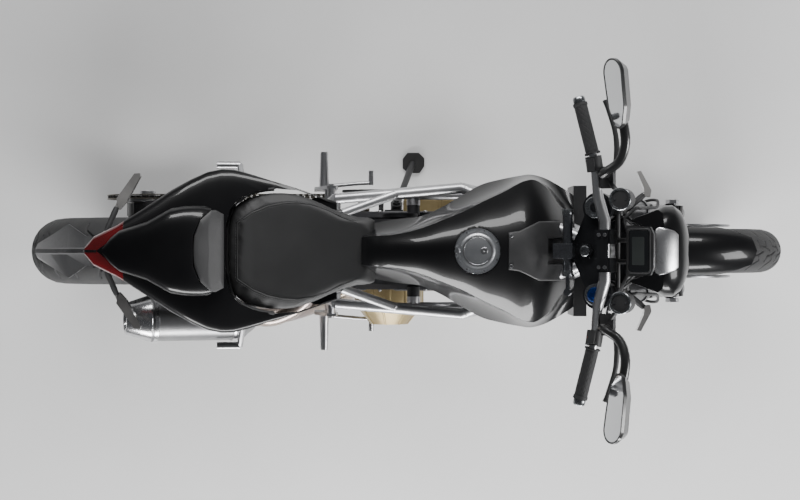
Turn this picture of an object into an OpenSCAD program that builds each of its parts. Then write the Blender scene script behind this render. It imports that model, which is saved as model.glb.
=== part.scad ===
// Naked sport motorcycle with a twin-cylinder engine, parked on its side stand.
// Sizes in millimetres; the machine is drawn upright, +X forward and +Y to its left, then leaned.

/* [Stance] */
// Distance between the two wheel axles
wheelbase = 1475; // [1380:5:1560]
// Lean to the left on the side stand, degrees
lean = 10.5; // [8:0.5:13]
// Steering head angle from the vertical, degrees
rake = 24; // [22:0.5:27]
// Ground trail of the front wheel
trail = 103; // [90:1:115]

/* [Wheels] */
// Outer radius of the front tyre
front_tyre_r = 300; // [292:1:308]
// Width of the front tyre
front_tyre_w = 120; // [110:2:130]
// Outer radius of the rear tyre
rear_tyre_r = 320; // [312:1:328]
// Width of the rear tyre
rear_tyre_w = 180; // [160:2:190]
// Height of the front tyre's section, bead to tread
front_section_h = 86; // [80:1:92]
// Height of the rear tyre's section, bead to tread
rear_section_h = 106; // [98:1:112]
// Spokes in each wheel
spoke_count = 5; // [3:1:7]
// Outer radius of a front brake disc
front_disc_r = 160; // [145:1:165]
// Outer radius of the rear brake disc
rear_disc_r = 122; // [105:1:126]
// Brake disc thickness
disc_t = 5; // [4:0.5:6]

/* [Front end] */
// Distance between the fork legs
fork_pitch = 212; // [200:2:220]
// Radius of the upper fork tube
fork_tube_r = 27; // [25:0.5:29]
// Radius of the fork slider
slider_r = 21.5; // [20:0.5:24]
// Front axle radius
front_axle_r = 12.5; // [10:0.5:14]
// Bore of the hollow front axle, radius
front_axle_bore_r = 8.5; // [6:0.5:10]
// Width over the ends of the grips
bar_w = 720; // [680:5:780]
// Handlebar radius at the grips
bar_r = 11; // [10.5:0.1:11.5]
// Handlebar radius at the clamps
bar_clamp_r = 14.3; // [13:0.1:15]
// Grip length
grip_l = 126; // [115:1:135]
// Height of the mirror centres when upright
mirror_z = 1100; // [1060:5:1130]

/* [Frame] */
// Radius of the main trellis tubes
main_tube_r = 14; // [12:0.5:16]
// Radius of the bracing tubes
brace_tube_r = 11.5; // [9:0.5:13]
// Radius of the steering head
head_r = 34; // [30:1:38]
// Half width over the upper tubes at the widest place
frame_half_w = 162; // [150:1:170]

/* [Drive] */
// Chain pitch
chain_pitch = 15.875; // [12.7:0.001:19.05]
// Teeth on the rear sprocket
rear_teeth = 42; // [36:1:46]
// Teeth on the front sprocket
front_teeth = 15; // [13:1:17]
// Distance of the chain line from the middle plane
chain_y = 150; // [146:1:154]
// Rear axle radius in the swingarm hub
rear_axle_r = 22; // [18:0.5:26]
// Bore of the hollow rear axle, radius
rear_axle_bore_r = 13.5; // [10:0.5:15]

/* [Body] */
// Height of the tank's crown
tank_top = 946; // [920:2:970]
// Greatest half width of the tank
tank_half_w = 197; // [180:1:205]
// Height of the seat's lowest place
seat_z = 826; // [800:2:845]
// Radius of the filler cap
cap_r = 50; // [44:1:54]
// Radius of a muffler
muffler_r = 60; // [54:1:62]

/* [Fits] */
// Gap between pieces that seat on each other
seat_gap = 0.3; // [0.2:0.05:0.5]
// Radial clearance of a running fit
run_fit = 0.08; // [0.04:0.01:0.1]

/* [Hidden] */
$fn = 64;
crown_front = front_tyre_w / 2;
crown_rear = rear_tyre_w / 2;
sink_rear = crown_rear * (1 - cos(lean));
sink_front = crown_front * (1 - cos(lean));
front_axle = [wheelbase / 2, 0, front_tyre_r - sink_rear + sink_front];
rear_axle = [-wheelbase / 2, 0, rear_tyre_r];
middle_x = (front_tyre_r - rear_tyre_r) / 2;
fork_offset = front_tyre_r * sin(rake) - trail * cos(rake);
leg_y = fork_pitch / 2;
tread_gap = 9;
front_bead_half = 48;
rear_bead_half = 72;
flange_h = 9.5;
front_bead_r = front_tyre_r - front_section_h;
rear_bead_r = rear_tyre_r - rear_section_h;
disc_y = 71.5;
rear_disc_y = 22.5;
pivot = [-232, 0, 405];
crank = [60, 0, 390];
bank = 21;
front_sprocket = [-130, chain_y, 395];
rear_pitch_r = chain_pitch / (2 * sin(180 / rear_teeth));
front_pitch_r = chain_pitch / (2 * sin(180 / front_teeth));
lamp_x = front_axle[0] - 162.5;

// Point of the fork frame at height z along the legs, x ahead of the leg line
function fork_at(x, y, z) = [
  front_axle[0] + x * cos(rake) - z * sin(rake),
  y,
  front_axle[2] + x * sin(rake) + z * cos(rake)];
function mid(p, q, t) = p + (q - p) * t;
function flip(p) = [p[0], -p[1], p[2]];
function ring_pts(x, w, zb, zt, n, k) = [
  for (i = [0 : k - 1])
    let (a = 360 * i / k, c = cos(a), s = sin(a))
    [x, w * sign(c) * pow(abs(c), 2 / n),
      (zb + zt) / 2 + (zt - zb) / 2 * sign(s) * pow(abs(s), 2 / n)]];

// Leans the upright machine onto its stand and puts its box centre over the origin
module stance() {
  translate([-middle_x, -mirror_z * sin(lean), sink_rear])
    rotate([-lean, 0, 0])
      children();
}

module fork_frame() {
  translate(front_axle)
    rotate([0, -rake, 0])
      children();
}

module both_sides() {
  children();
  mirror([0, 1, 0])
    children();
}

// Puts children built up +Z on the line from p to q
module along(p, q) {
  d = q - p;
  translate(p)
    rotate([0, acos(d[2] / norm(d)), atan2(d[1], d[0])])
      children();
}

module rod(p, q, r) {
  along(p, q)
    cylinder(h = norm(q - p), r = r);
}

// Turns a shape built round Z so that it stands round Y, +Z to the left
module wheel_turn() {
  rotate([-90, 0, 0])
    children();
}

// Skin through rings of equal point count, ordered with rising x
module loft(rings) {
  k = len(rings[0]);
  n = len(rings);
  polyhedron(
    points = [for (r = rings) for (p = r) p],
    faces = concat(
      [[for (j = [0 : k - 1]) j]],
      [[for (j = [k - 1 : -1 : 0]) (n - 1) * k + j]],
      [for (i = [0 : n - 2]) for (j = [0 : k - 1])
        let (a = i * k + j, b = i * k + (j + 1) % k)
        [a, a + k, b + k]],
      [for (i = [0 : n - 2]) for (j = [0 : k - 1])
        let (a = i * k + j, b = i * k + (j + 1) % k)
        [a, b + k, b]]),
    convexity = 6);
}

// A direction square to d
function across(d) = abs(d[1]) > 0.9 ? cross(d, [0, 0, 1]) : cross(d, [0, 1, 0]);

// Cross direction of step i, carried along the path from its start so that the tube does not twist
function carried(dir, i) =
  let (u = i == 0 ? across(dir[0]) : carried(dir, i - 1), v = u - (u * dir[i]) * dir[i])
  v / norm(v);

// Round pipe through a list of points, each with its own radius
module pipe(path, k = 20, carry = false) {
  n = len(path);
  pos = [for (q = path) [q[0], q[1], q[2]]];
  dir = [for (i = [0 : n - 1])
    let (d = pos[min(i + 1, n - 1)] - pos[max(i - 1, 0)]) d / norm(d)];
  side = [for (i = [0 : n - 1])
    let (u = carry ? carried(dir, i) : across(dir[i])) u / norm(u)];
  rings = [for (i = [0 : n - 1])
    let (u = side[i], v = cross(dir[i], u))
    [for (j = [0 : k - 1]) pos[i] + path[i][3] * (u * cos(360 * j / k) + v * sin(360 * j / k))]];
  loft(rings);
}

// Catmull curve through waypoints, m steps between each two
function curve(p, m) = concat(
  [for (i = [0 : len(p) - 2]) for (j = [0 : m - 1])
    let (
      a = p[max(i - 1, 0)], b = p[i], c = p[i + 1], d = p[min(i + 2, len(p) - 1)], t = j / m)
    0.5 * (2 * b + (c - a) * t + (2 * a - 5 * b + 4 * c - d) * t * t
      + (3 * b - a - 3 * c + d) * t * t * t)],
  [p[len(p) - 1]]);

// Flat bar in the wheel plane from p to q with end widths w0 and w1
module bar2(p, q, w0, w1) {
  d = (q - p) / norm(q - p);
  s = [-d[1], d[0]];
  polygon([p - s * w0 / 2, q - s * w1 / 2, q + s * w1 / 2, p + s * w0 / 2]);
}

module tyre(tread_r, crown_r, bead_half, bead_r) {
  wheel_turn()
    rotate_extrude($fn = 96)
      difference() {
        translate([tread_r - crown_r, 0])
          circle(r = crown_r, $fn = 72);
        translate([0, -crown_r - 1])
          square([bead_r + seat_gap, 2 * crown_r + 2]);
        for (s = [0, 1])
          mirror([0, s])
            translate([0, bead_half - seat_gap])
              square([bead_r + flange_h + seat_gap, crown_r]);
      }
}

module rim_section(h, bead_r) {
  flange_r = bead_r + flange_h;
  half = [
    [flange_r, h + 5], [flange_r, h], [bead_r, h], [bead_r, h - 20], [bead_r - 11, h - 34]];
  inner = [[bead_r - 6, h + 3], [bead_r - 17, 22], [bead_r - 22, 14]];
  polygon(concat(
    [for (p = half) p],
    [for (i = [4 : -1 : 0]) [half[i][0], -half[i][1]]],
    [for (p = inner) [p[0], -p[1]]],
    [for (i = [2 : -1 : 0]) inner[i]]));
}

// Y spokes between a hub and the rim well, t thick
module spokes(t, hub_r, bead_r) {
  fork_r = hub_r + 62;
  for (i = [0 : spoke_count - 1])
    rotate(360 * i / spoke_count + 18)
      translate([0, 0, -t / 2])
        linear_extrude(height = t)
          union() {
            bar2([hub_r - 8, 0], [fork_r, 0], 34, 24);
            for (s = [-1, 1])
              bar2([fork_r - 10, s * 5], (bead_r - 18) * [cos(15), s * sin(15)], 15, 17);
          }
}

module drilled_disc(r, band, bore, arms) {
  holes = 24;
  difference() {
    union() {
      difference() {
        cylinder(h = disc_t, r = r, center = true, $fn = 96);
        cylinder(h = disc_t + 2, r = r - band, center = true, $fn = 96);
      }
      difference() {
        cylinder(h = disc_t, r = bore + 30, center = true);
        cylinder(h = disc_t + 2, r = bore, center = true);
      }
      for (i = [0 : arms - 1])
        rotate(360 * i / arms)
          translate([0, 0, -disc_t / 2 + 0.6])
            linear_extrude(height = disc_t - 1.2)
              bar2([bore + 22, -8], [r - band + 3, 6], 20, 15);
    }
    for (i = [0 : holes - 1])
      rotate(360 * (i + 0.5) / holes)
        translate([r - band * (i % 2 == 0 ? 0.3 : 0.68), 0, -disc_t])
          cylinder(h = 2 * disc_t, r = 4, $fn = 24);
  }
}

module front_tyre() {
  color([0.06, 0.06, 0.065])
    stance()
      translate(front_axle)
        tyre(front_tyre_r, crown_front, front_bead_half, front_bead_r);
}

module front_wheel() {
  color([0.10, 0.10, 0.11])
    stance()
      translate(front_axle)
        wheel_turn()
          difference() {
            union() {
              rotate_extrude($fn = 96)
                rim_section(front_bead_half, front_bead_r);
              spokes(26, 40, front_bead_r);
              cylinder(h = 100, r = 40, center = true);
              cylinder(h = 2 * (disc_y - disc_t / 2 - seat_gap), r = 52, center = true);
              cylinder(h = 2 * 77, r = 20, center = true);
            }
            cylinder(h = 200, r = front_axle_r + run_fit, center = true);
          }
}

module front_discs() {
  color([0.62, 0.63, 0.65])
    stance()
      translate(front_axle)
        both_sides()
          translate([0, disc_y, 0])
            wheel_turn()
              drilled_disc(front_disc_r, 42, 22, 6);
}

module front_axle_shaft() {
  color([0.70, 0.71, 0.73])
    stance()
      translate(front_axle)
        wheel_turn()
          difference() {
            union() {
              cylinder(h = 2 * 142, r = front_axle_r, center = true);
              translate([0, 0, 133 + seat_gap])
                cylinder(h = 11, r = 19, $fn = 6);
              translate([0, 0, -144 - seat_gap])
                cylinder(h = 11, r = 19, $fn = 6);
            }
            cylinder(h = 300, r = front_axle_bore_r, center = true);
          }
}

module fork_sliders() {
  color([0.16, 0.16, 0.17])
    stance()
      fork_frame()
        both_sides()
          translate([0, leg_y, 0])
            difference() {
              union() {
                translate([0, 0, 20])
                  cylinder(h = 310 - seat_gap, r = slider_r);
                translate([0, 0, -34])
                  cylinder(h = 70, r = 27);
                wheel_turn()
                  cylinder(h = 42, r = 31, center = true);
                translate([-100, -leg_y + 96 + seat_gap, 38])
                  cube([96, 15, 112]);
              }
              wheel_turn()
                cylinder(h = 90, r = front_axle_r + seat_gap, center = true);
            }
}

module fork_tubes() {
  color([0.12, 0.12, 0.13])
    stance()
      fork_frame()
        both_sides()
          translate([0, leg_y, 0])
            union() {
              translate([0, 0, 330])
                cylinder(h = 388, r = fork_tube_r);
              translate([0, 0, 336])
                cylinder(h = 20, r = fork_tube_r + 3);
            }
}

module clamp_plate(z, h, reach) {
  translate([0, 0, z])
    linear_extrude(height = h)
      difference() {
        union() {
          for (s = [-1, 1])
            translate([0, s * leg_y])
              circle(r = fork_tube_r + 10);
          translate([-fork_offset, 0])
            circle(r = reach);
          polygon([
            [26, -leg_y - 8], [26, leg_y + 8], [-16, leg_y + 20],
            [-fork_offset - reach + 8, 24], [-fork_offset - reach + 8, -24],
            [-16, -leg_y - 20]]);
        }
        for (s = [-1, 1])
          translate([0, s * leg_y])
            circle(r = fork_tube_r + seat_gap);
      }
}

module triple_clamps() {
  color([0.13, 0.13, 0.14])
    stance()
      fork_frame()
        difference() {
          union() {
            clamp_plate(682, 24, 40);
            clamp_plate(500, 44, 42);
            translate([-fork_offset, 0, 500])
              cylinder(h = 206, r = 15);
            translate([-fork_offset, 0, 704])
              cylinder(h = 14, r = 19, $fn = 6);
            for (s = [-1, 1])
              translate([bar_x - 19, s * 34 - 17, 704])
                cube([38, 34, 58]);
            translate([bar_x - 13, -48, 756])
              cube([26, 96, 10]);
          }
          translate([bar_x, 0, 744])
            wheel_turn()
              cylinder(h = 120, r = bar_clamp_r + seat_gap, center = true);
        }
}

// Waypoints of the left half of the handlebar in the fork frame
bar_end = bar_w / 2;
grip_in = [9, bar_end - grip_l - 6, 769];
grip_out = [-25, bar_end, 770];
grip_dir = (grip_out - grip_in) / norm(grip_out - grip_in);

bar_x = 30;
module handlebar() {
  half = [
    for (i = [0 : 5])
      let (p = [[bar_x, 0, 744], [bar_x, 40, 744], [bar_x, 72, 744.5], [16, 128, 750],
        [13, 190, 763], grip_in][i])
      [p[0], p[1], p[2], i < 3 ? bar_clamp_r : i == 3 ? 13 : bar_r]];
  tip = grip_in + grip_dir * (grip_l - 1);
  left = concat(half, [[tip[0], tip[1], tip[2], bar_r]]);
  right = [for (i = [len(left) - 1 : -1 : 1]) [left[i][0], -left[i][1], left[i][2], left[i][3]]];
  color([0.62, 0.63, 0.65])
    stance()
      fork_frame()
        pipe(concat(right, left), 24);
}

module grips() {
  color([0.05, 0.05, 0.055])
    stance()
      fork_frame()
        both_sides()
          along(grip_in, grip_out)
            difference() {
              union() {
                translate([0, 0, 5])
                  cylinder(h = grip_l - 1, r = 16);
                translate([0, 0, 5])
                  cylinder(h = 4, r = 19);
                translate([0, 0, grip_l - 2])
                  cylinder(h = 7, r = 17.5);
              }
              translate([0, 0, -10])
                cylinder(h = grip_l + 10, r = bar_r + seat_gap);
            }
}

// Switch housing, lever with perch, and the fluid cup on its stalk, left side
perch = [27.6, 150, 750];
cup_at = [92, 122, 782];
module control_set() {
  root = [55, 186, 759];
  union() {
    along(grip_in, [13, 190, 763])
      difference() {
        union() {
          translate([0, 0, 1])
            cylinder(h = 36, r = 20);
          translate([-29, -8, 4])
            cube([20, 16, 30]);
        }
        translate([0, 0, -5])
          cylinder(h = 60, r = bar_r + 0.5);
      }
    difference() {
      translate(perch)
        cube([32, 52, 22]);
      along([13, 190, 763], grip_in)
        cylinder(h = 60, r = bar_r + 0.5);
    }
    pipe(curve([
      [root[0] - 10, root[1] - 8, root[2] + 2, 8.5], [root[0] + 8, root[1] + 24, root[2], 8],
      [root[0] + 6, root[1] + 90, root[2] - 4, 6.5], [root[0] - 12, root[1] + 150, root[2] - 6, 6],
      [root[0] - 20, root[1] + 176, root[2] - 6, 8]], 4), 12);
    rod([50, 164, 766], [cup_at[0] - 6, cup_at[1] + 6, cup_at[2] + 10], 6);
    translate(cup_at)
      cylinder(h = 32, r = 25);
    translate(cup_at + [0, 0, 31])
      cylinder(h = 11, r = 27, $fn = 12);
  }
}

module controls() {
  color([0.08, 0.08, 0.085])
    stance()
      fork_frame()
        both_sides()
          control_set();
}

// Brake hoses from the right lever's cylinder down each fork leg; columns X, y, Z in the fork frame
hose_r = 4;
right_hose = [
  [44, -149.3, 755.6], [45, -141, 754], [49, -133, 746], [56, -122, 716], [68, -112, 670], [72, -104, 622],
  [60, -107, 560], [48, -108, 500], [40, -112, 420], [38, -113, 350], [33, -118, 280], [16, -136, 222],
  [-24, -135, 188], [-66, -112, 176], [-90, -86, 172], [-95, -77, 162], [-96, -76, 152.8]];
left_hose = [
  [44, -149.3, 765], [45, -139, 765], [50, -126, 761], [62, -100, 735], [70, -60, 690], [76, -26, 668],
  [76, 0, 660], [68, 30, 656], [54, 60, 650], [51, 76, 650], [62, 92, 640], [68, 105, 612],
    [60, 108, 560], [48, 108, 500], [40, 112, 420],
  [38, 113, 350], [33, 118, 280], [16, 136, 222], [-24, 135, 188], [-66, 112, 176], [-90, 86, 172],
  [-95, 77, 162], [-96, 76, 152.8]];
module brake_hoses() {
  color([0.07, 0.07, 0.075])
    stance()
      fork_frame()
        for (route = [right_hose, left_hose])
          pipe(curve([for (q = route) [q[0], q[1], q[2], hose_r]], 3), 8, true);
}

// Mirror shells on their stalks; the glass leans back and up
mirror_mid = [front_axle[0] - 263.5, 372, mirror_z];
mirror_tilt = 62;
module mirror_place() {
  translate(mirror_mid)
    rotate([0, 0, 9])
      rotate([0, -mirror_tilt, 0])
        children();
}

module mirror_outline(grow) {
  hull() {
    translate([2, 44])
      circle(r = 36 + grow, $fn = 36);
    translate([-4, -30])
      circle(r = 33 + grow, $fn = 36);
    translate([-6, -66])
      circle(r = 20 + grow, $fn = 36);
  }
}

module mirrors() {
  low = fork_at(44, 185, perch[2] + 22 + seat_gap);
  foot = fork_at(44, 185, perch[2] + 31);
  bend = fork_at(44, 185, perch[2] + 48);
  color([0.06, 0.06, 0.065])
    stance()
      both_sides()
        union() {
          mirror_place()
            difference() {
              hull() {
                translate([0, 0, -6])
                  linear_extrude(height = 8)
                    mirror_outline(0);
                translate([0, 0, -30])
                  linear_extrude(height = 2)
                    mirror_outline(-16);
              }
              translate([0, 0, -2])
                linear_extrude(height = 10)
                  mirror_outline(-4);
            }
          pipe(curve([
            [mirror_mid[0] + 20, 308, mirror_z - 19, 12], [mirror_mid[0] + 27, 256, mirror_z - 25, 12],
            [mirror_mid[0] + 15, 212, mirror_z - 41, 11.5], [bend[0], bend[1], bend[2], 11],
            [foot[0], foot[1], foot[2], 11], [low[0], low[1], low[2], 11]], 4), 12, true);
        }
}

module mirror_glass() {
  color([0.72, 0.75, 0.78])
    stance()
      both_sides()
        mirror_place()
          translate([0, 0, -2 + seat_gap])
            linear_extrude(height = 3)
              mirror_outline(-4 - seat_gap);
}

module front_fender() {
  in_r = front_tyre_r + tread_gap;
  k = front_tyre_r / 300;
  color([0.05, 0.05, 0.055])
    stance()
      union() {
        translate(front_axle)
          intersection() {
            wheel_turn()
              rotate([0, 0, -150])
                rotate_extrude(angle = 100, $fn = 96)
                  difference() {
                    translate([in_r + 4 - 68, 0])
                      circle(r = 68);
                    translate([in_r - 64, 0])
                      circle(r = 64);
                    translate([0, -80])
                      square([in_r - 40, 160]);
                  }
            translate([0, 0, 100])
              linear_extrude(height = 400)
                polygon([
                  [-300 * k, -70], [40 * k, -70], [110 * k, -58], [172 * k, -36], [186 * k, 0],
                  [172 * k, 36], [110 * k, 58], [40 * k, 70], [-300 * k, 70]]);
          }
        fork_frame()
          both_sides()
            difference() {
              translate([-16, 62, in_r - 47])
                cube([32, 40, 10]);
              translate([0, leg_y, 200])
                cylinder(h = 120, r = slider_r + seat_gap);
              wheel_turn()
                cylinder(h = 200, r = in_r - 45, center = true);
            }
      }
}

module front_calipers() {
  color([0.30, 0.30, 0.31])
    stance()
      fork_frame()
        both_sides()
          difference() {
            union() {
              translate([-126, 55, 36])
                cube([60, 41, 116]);
              translate([-132, 58, 50])
                cube([70, 32, 88]);
            }
            translate([0, disc_y, 0])
              wheel_turn()
                cylinder(h = disc_t + 5, r = front_disc_r + 4, center = true);
            translate([-134, disc_y - 8, 66])
              cube([24, 16, 56]);
          }
}

module lamp_bracket() {
  color([0.10, 0.10, 0.11])
    stance()
      union() {
        for (h = [596, 650])
          fork_frame()
            both_sides()
              translate([0, leg_y, h])
                difference() {
                  union() {
                    cylinder(h = 18, r = fork_tube_r + 6);
                    translate([10, -20, 0])
                      cube([38, 16, 18]);
                  }
                  translate([0, 0, -1])
                    cylinder(h = 20, r = fork_tube_r + seat_gap);
                }
        both_sides()
          rod(fork_at(40, leg_y - 12, 590), fork_at(40, leg_y - 12, 676), 7);
        both_sides()
          rod(fork_at(40, leg_y - 12, 640), [lamp_x - 5, 48, 872], 6.8);
        both_sides()
          translate([lamp_x - 10, 32, 852])
            cube([10 - seat_gap, 34, 40]);
        rod(fork_at(40, leg_y - 12, 668), fork_at(40, 12 - leg_y, 668), 6.6);
      }
}

module headlight_shell() {
  rows = [[0, 72, 812, 932], [21, 98, 792, 940], [47, 112, 780, 938], [71, 114, 778, 926],
    [91, 100, 786, 908], [105, 74, 802, 886], [113, 44, 822, 866]];
  color([0.04, 0.04, 0.045])
    stance()
      difference() {
        union() {
          loft([for (r = rows) ring_pts(lamp_x + r[0], r[1], r[2], r[3], 2.6, 36)]);
          both_sides()
            translate([lamp_x, 0, 902])
              linear_extrude(height = 34)
                polygon([[-42, 76], [-38, 71], [6, 54], [40, 56], [36, 92], [24, 101]]);
        }
        translate([lamp_x + 65, 0, 838])
          rotate([0, 90, 0])
            cylinder(h = 80, r = 40);
      }
}

module headlight_lens() {
  color([0.80, 0.83, 0.86])
    stance()
      intersection() {
        translate([lamp_x + 66, 0, 838])
          rotate([0, 90, 0])
            cylinder(h = 60, r = 40 - seat_gap);
        translate([lamp_x - 15, 0, 838])
          sphere(r = 118);
      }
}

module instrument() {
  color([0.05, 0.05, 0.055])
    stance()
      difference() {
        union() {
          translate([lamp_x - 24, 0, 985])
            rotate([0, -18, 0])
              linear_extrude(height = 24)
                polygon([[-32, -62], [26, -58], [34, -40], [34, 40], [26, 58], [-32, 62]]);
          both_sides()
            rod([lamp_x - 27, 26, 994], fork_at(40, 26, 668), 6);
        }
        rod(fork_at(40, leg_y - 12, 668), fork_at(40, 12 - leg_y, 668), 6.6 + seat_gap);
      }
}

module front_indicators() {
  color([0.85, 0.52, 0.12])
    stance()
      both_sides()
        union() {
          translate([lamp_x - 24, 138, 866])
            linear_extrude(height = 26)
              polygon([[22, -2], [36, -5], [39, 12], [13, 60], [3, 58], [20, 18]]);
          difference() {
            rod([lamp_x + 6, 146, 879], fork_at(40, leg_y - 12, 630), 6);
            rod(fork_at(40, leg_y - 12, 590), fork_at(40, leg_y - 12, 676), 7 + seat_gap);
          }
        }
}

module steering_damper() {
  color([0.30, 0.31, 0.33])
    stance()
      fork_frame()
        translate([-fork_offset - 36, 0, 742])
          union() {
            translate([0, -62, 0])
              wheel_turn()
                cylinder(h = 164, r = 12);
            translate([0, -94, 0])
              wheel_turn()
                cylinder(h = 34, r = 5);
            translate([0, -100, -6.5])
              cylinder(h = 13, r = 9);
            translate([-38, -18, -30 + seat_gap])
              cube([27, 36, 30]);
            translate([-20, -18, -16])
              cube([36, 36, 31]);
          }
}

// Trellis nodes on the left side
head_top = fork_at(-fork_offset, 22, 652);
head_low = fork_at(-fork_offset, 22, 575);
up1 = [130, frame_half_w, 722];
up2 = [-195, 136, 668];
low1 = [238, 148, 600];
low2 = [6, 150, 548];
plate_top = [-212, 130, 580];
plate_low = [-232, 122, 488];
tail_root = [-178, 96, 752];
trellis = [
  [head_top, up1, main_tube_r], [up1, up2, main_tube_r - 0.2],
  [head_low, low1, main_tube_r - 0.4], [low1, low2, main_tube_r - 0.6],
  [up2, plate_low, main_tube_r - 0.3],
  [low1, up1, brace_tube_r], [low1, mid(head_top, up1, 0.45), brace_tube_r - 0.2],
  [low2, mid(up1, up2, 0.12), brace_tube_r - 0.1], [low2, mid(up1, up2, 0.72), brace_tube_r - 0.3],
  [mid(up1, up2, 0.5), tail_root, brace_tube_r - 0.15]];

module trellis_tubes(grow) {
  for (t = trellis)
    rod(t[0], t[1], t[2] + grow);
}

module frame() {
  color([0.33, 0.32, 0.32])
    stance()
      difference() {
        union() {
          fork_frame()
            translate([-fork_offset, 0, 550])
              cylinder(h = 126, r = head_r);
          both_sides()
            trellis_tubes(0);
          both_sides()
            translate([low2[0], 122, low2[2]])
              wheel_turn()
                cylinder(h = 46, r = 18);
          both_sides()
            translate([plate_low[0], 108, plate_low[2]])
              wheel_turn()
                cylinder(h = 28, r = 18);
          fork_frame()
            translate([-fork_offset - 74, -16, 636])
              cube([27, 32, 76]);
          fork_frame()
            translate([-fork_offset - 74, -16, 636])
              cube([60, 32, 36]);
          rod(mid(head_low, low1, 0.55), flip(mid(head_low, low1, 0.55)), brace_tube_r - 0.4);
          rod(up2, flip(up2), brace_tube_r - 0.45);
        }
        fork_frame()
          translate([-fork_offset, 0, 500])
            cylinder(h = 220, r = 15 + run_fit);
      }
}

seat_hi = [-330, 104, 760];
rear_hi = [-640, 62, 850];
strut_low = [up2[0] - 8, 118, up2[2] + 6];
module subframe_tubes(grow) {
  both_sides()
    rod(tail_root, seat_hi, 10 + grow);
  both_sides()
    rod(seat_hi, rear_hi, 9.8 + grow);
  both_sides()
    rod(strut_low, mid(seat_hi, rear_hi, 0.3), 9.5 + grow);
  rod(seat_hi, flip(seat_hi), 9.3 + grow);
  rod(rear_hi, flip(rear_hi), 9.1 + grow);
}

module subframe() {
  color([0.20, 0.20, 0.21])
    stance()
      difference() {
        subframe_tubes(0);
        both_sides()
          rod(mid(up1, up2, 0.5), tail_root, brace_tube_r - 0.15 + seat_gap);
        both_sides()
          rod(up1, up2, main_tube_r - 0.2 + seat_gap);
        both_sides()
          rod(up2, plate_low, main_tube_r - 0.3 + seat_gap);
        rod(up2, flip(up2), brace_tube_r - 0.45 + seat_gap);
      }
}

module crankcase() {
  color([0.30, 0.30, 0.31])
    stance()
      difference() {
        union() {
          translate([0, 104, 0])
            rotate([90, 0, 0])
              linear_extrude(height = 208)
                polygon([
                  [-190, 440], [-200, 330], [-150, 262], [-110, 226], [70, 218],
                  [140, 250], [168, 330], [160, 420], [118, 470], [40, 505],
                  [-10, 520], [-90, 500]]);
          translate([0, 58, 0])
            rotate([90, 0, 0])
              linear_extrude(height = 116)
                polygon([
                  [-180, 450], [-226, 440], [-262, 425], [-266, 388], [-240, 366], [-180, 330]]);
          both_sides()
            translate([low2[0], 96, low2[2]])
              wheel_turn()
                cylinder(h = 26 - seat_gap, r = 17);
          both_sides()
            translate([low2[0] - 17, 70, 490])
              cube([34, 30, 58]);
          both_sides()
            translate([plate_low[0], 40, plate_low[2]])
              wheel_turn()
                cylinder(h = 68 - seat_gap, r = 15);
          both_sides()
            translate([-250, 40, 430])
            cube([70, 18, 66]);
        }
        translate([pivot[0], 0, pivot[2]])
          wheel_turn()
            cylinder(h = 200, r = 15 + seat_gap, center = true);
      }
}

// One cylinder with its finned barrel, head and belt cover; s runs out from the crank
module cylinder_unit() {
  union() {
    translate([-62, -66, 80])
      cube([124, 132, 134]);
    for (i = [0 : 4])
      translate([-70, -74, 122 + 18 * i])
        cube([140, 148, 7]);
    translate([-74, -88, 212])
      cube([148, 176, 74]);
    translate([0, 0, 286])
      rotate([90, 0, 0])
        linear_extrude(height = 164, center = true)
          polygon([[-70, 0], [70, 0], [58, 36], [26, 48], [-26, 48], [-58, 36]]);
    translate([0, 88, 250])
      wheel_turn()
        cylinder(h = 10, r = 46);
  }
}

module cylinders() {
  deck = [[40, 505.4], [118.2, 470.3], [160.3, 420.2], [168.3, 330], [140.3, 249.8], [70, 217]];
  color([0.34, 0.34, 0.35])
    stance()
      union() {
        difference() {
          translate(crank)
            rotate([0, 90 - bank, 0])
              cylinder_unit();
          translate([0, 106, 0])
            rotate([90, 0, 0])
              linear_extrude(height = 212)
                polygon(concat(deck, [[-20, 400]]));
        }
        difference() {
          translate(crank)
            rotate([0, -bank, 0])
              cylinder_unit();
          translate([0, 106, 0])
            rotate([90, 0, 0])
              linear_extrude(height = 212)
                polygon([[160.3, 420.2], [118.2, 470.3], [40.2, 505.4], [-10, 520.4],
                  [-90.3, 500.3], [-190.3, 440.2], [0, 380]]);
          both_sides()
            translate([low2[0] - 18, 69, 480])
              cube([36, 60, 90]);
        }
      }
}

// Ribbed round cover: base height, cap height, base and top radius, bolt bosses
module round_cover(base_h, cap_h, base_r, top_r, bosses) {
  union() {
    cylinder(h = base_h, r = base_r);
    translate([0, 0, base_h])
      cylinder(h = cap_h, r1 = base_r - 6, r2 = top_r);
    for (i = [0 : bosses - 1])
      rotate(360 * i / bosses)
        translate([base_r - 5, 0, 0])
          cylinder(h = base_h + 4, r = 8, $fn = 24);
  }
}

module engine_covers() {
  color([0.45, 0.40, 0.24])
    stance()
      union() {
        translate([-60, -104 - seat_gap, 400])
          rotate([90, 0, 0])
            difference() {
              round_cover(51, 46, 92, 50, 12);
              translate([0, 0, 88])
                cylinder(h = 10, r = 30);
            }
        translate([64, 104 + seat_gap, 375])
          rotate([-90, 0, 0])
            round_cover(34, 18, 86, 60, 9);
      }
}

module sprocket_cover() {
  color([0.10, 0.10, 0.11])
    stance()
      translate([front_sprocket[0], chain_y + 12, front_sprocket[2]])
        wheel_turn()
          union() {
            linear_extrude(height = 6)
              union() {
                circle(r = 60);
                polygon([[0, -60], [62, -64], [62, 64], [0, 60]]);
              }
            for (z = [-56, 56])
              translate([48, z, 104 + seat_gap - chain_y - 12])
                cylinder(h = chain_y + 12 - 104 + 2, r = 6.5);
          }
}

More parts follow.
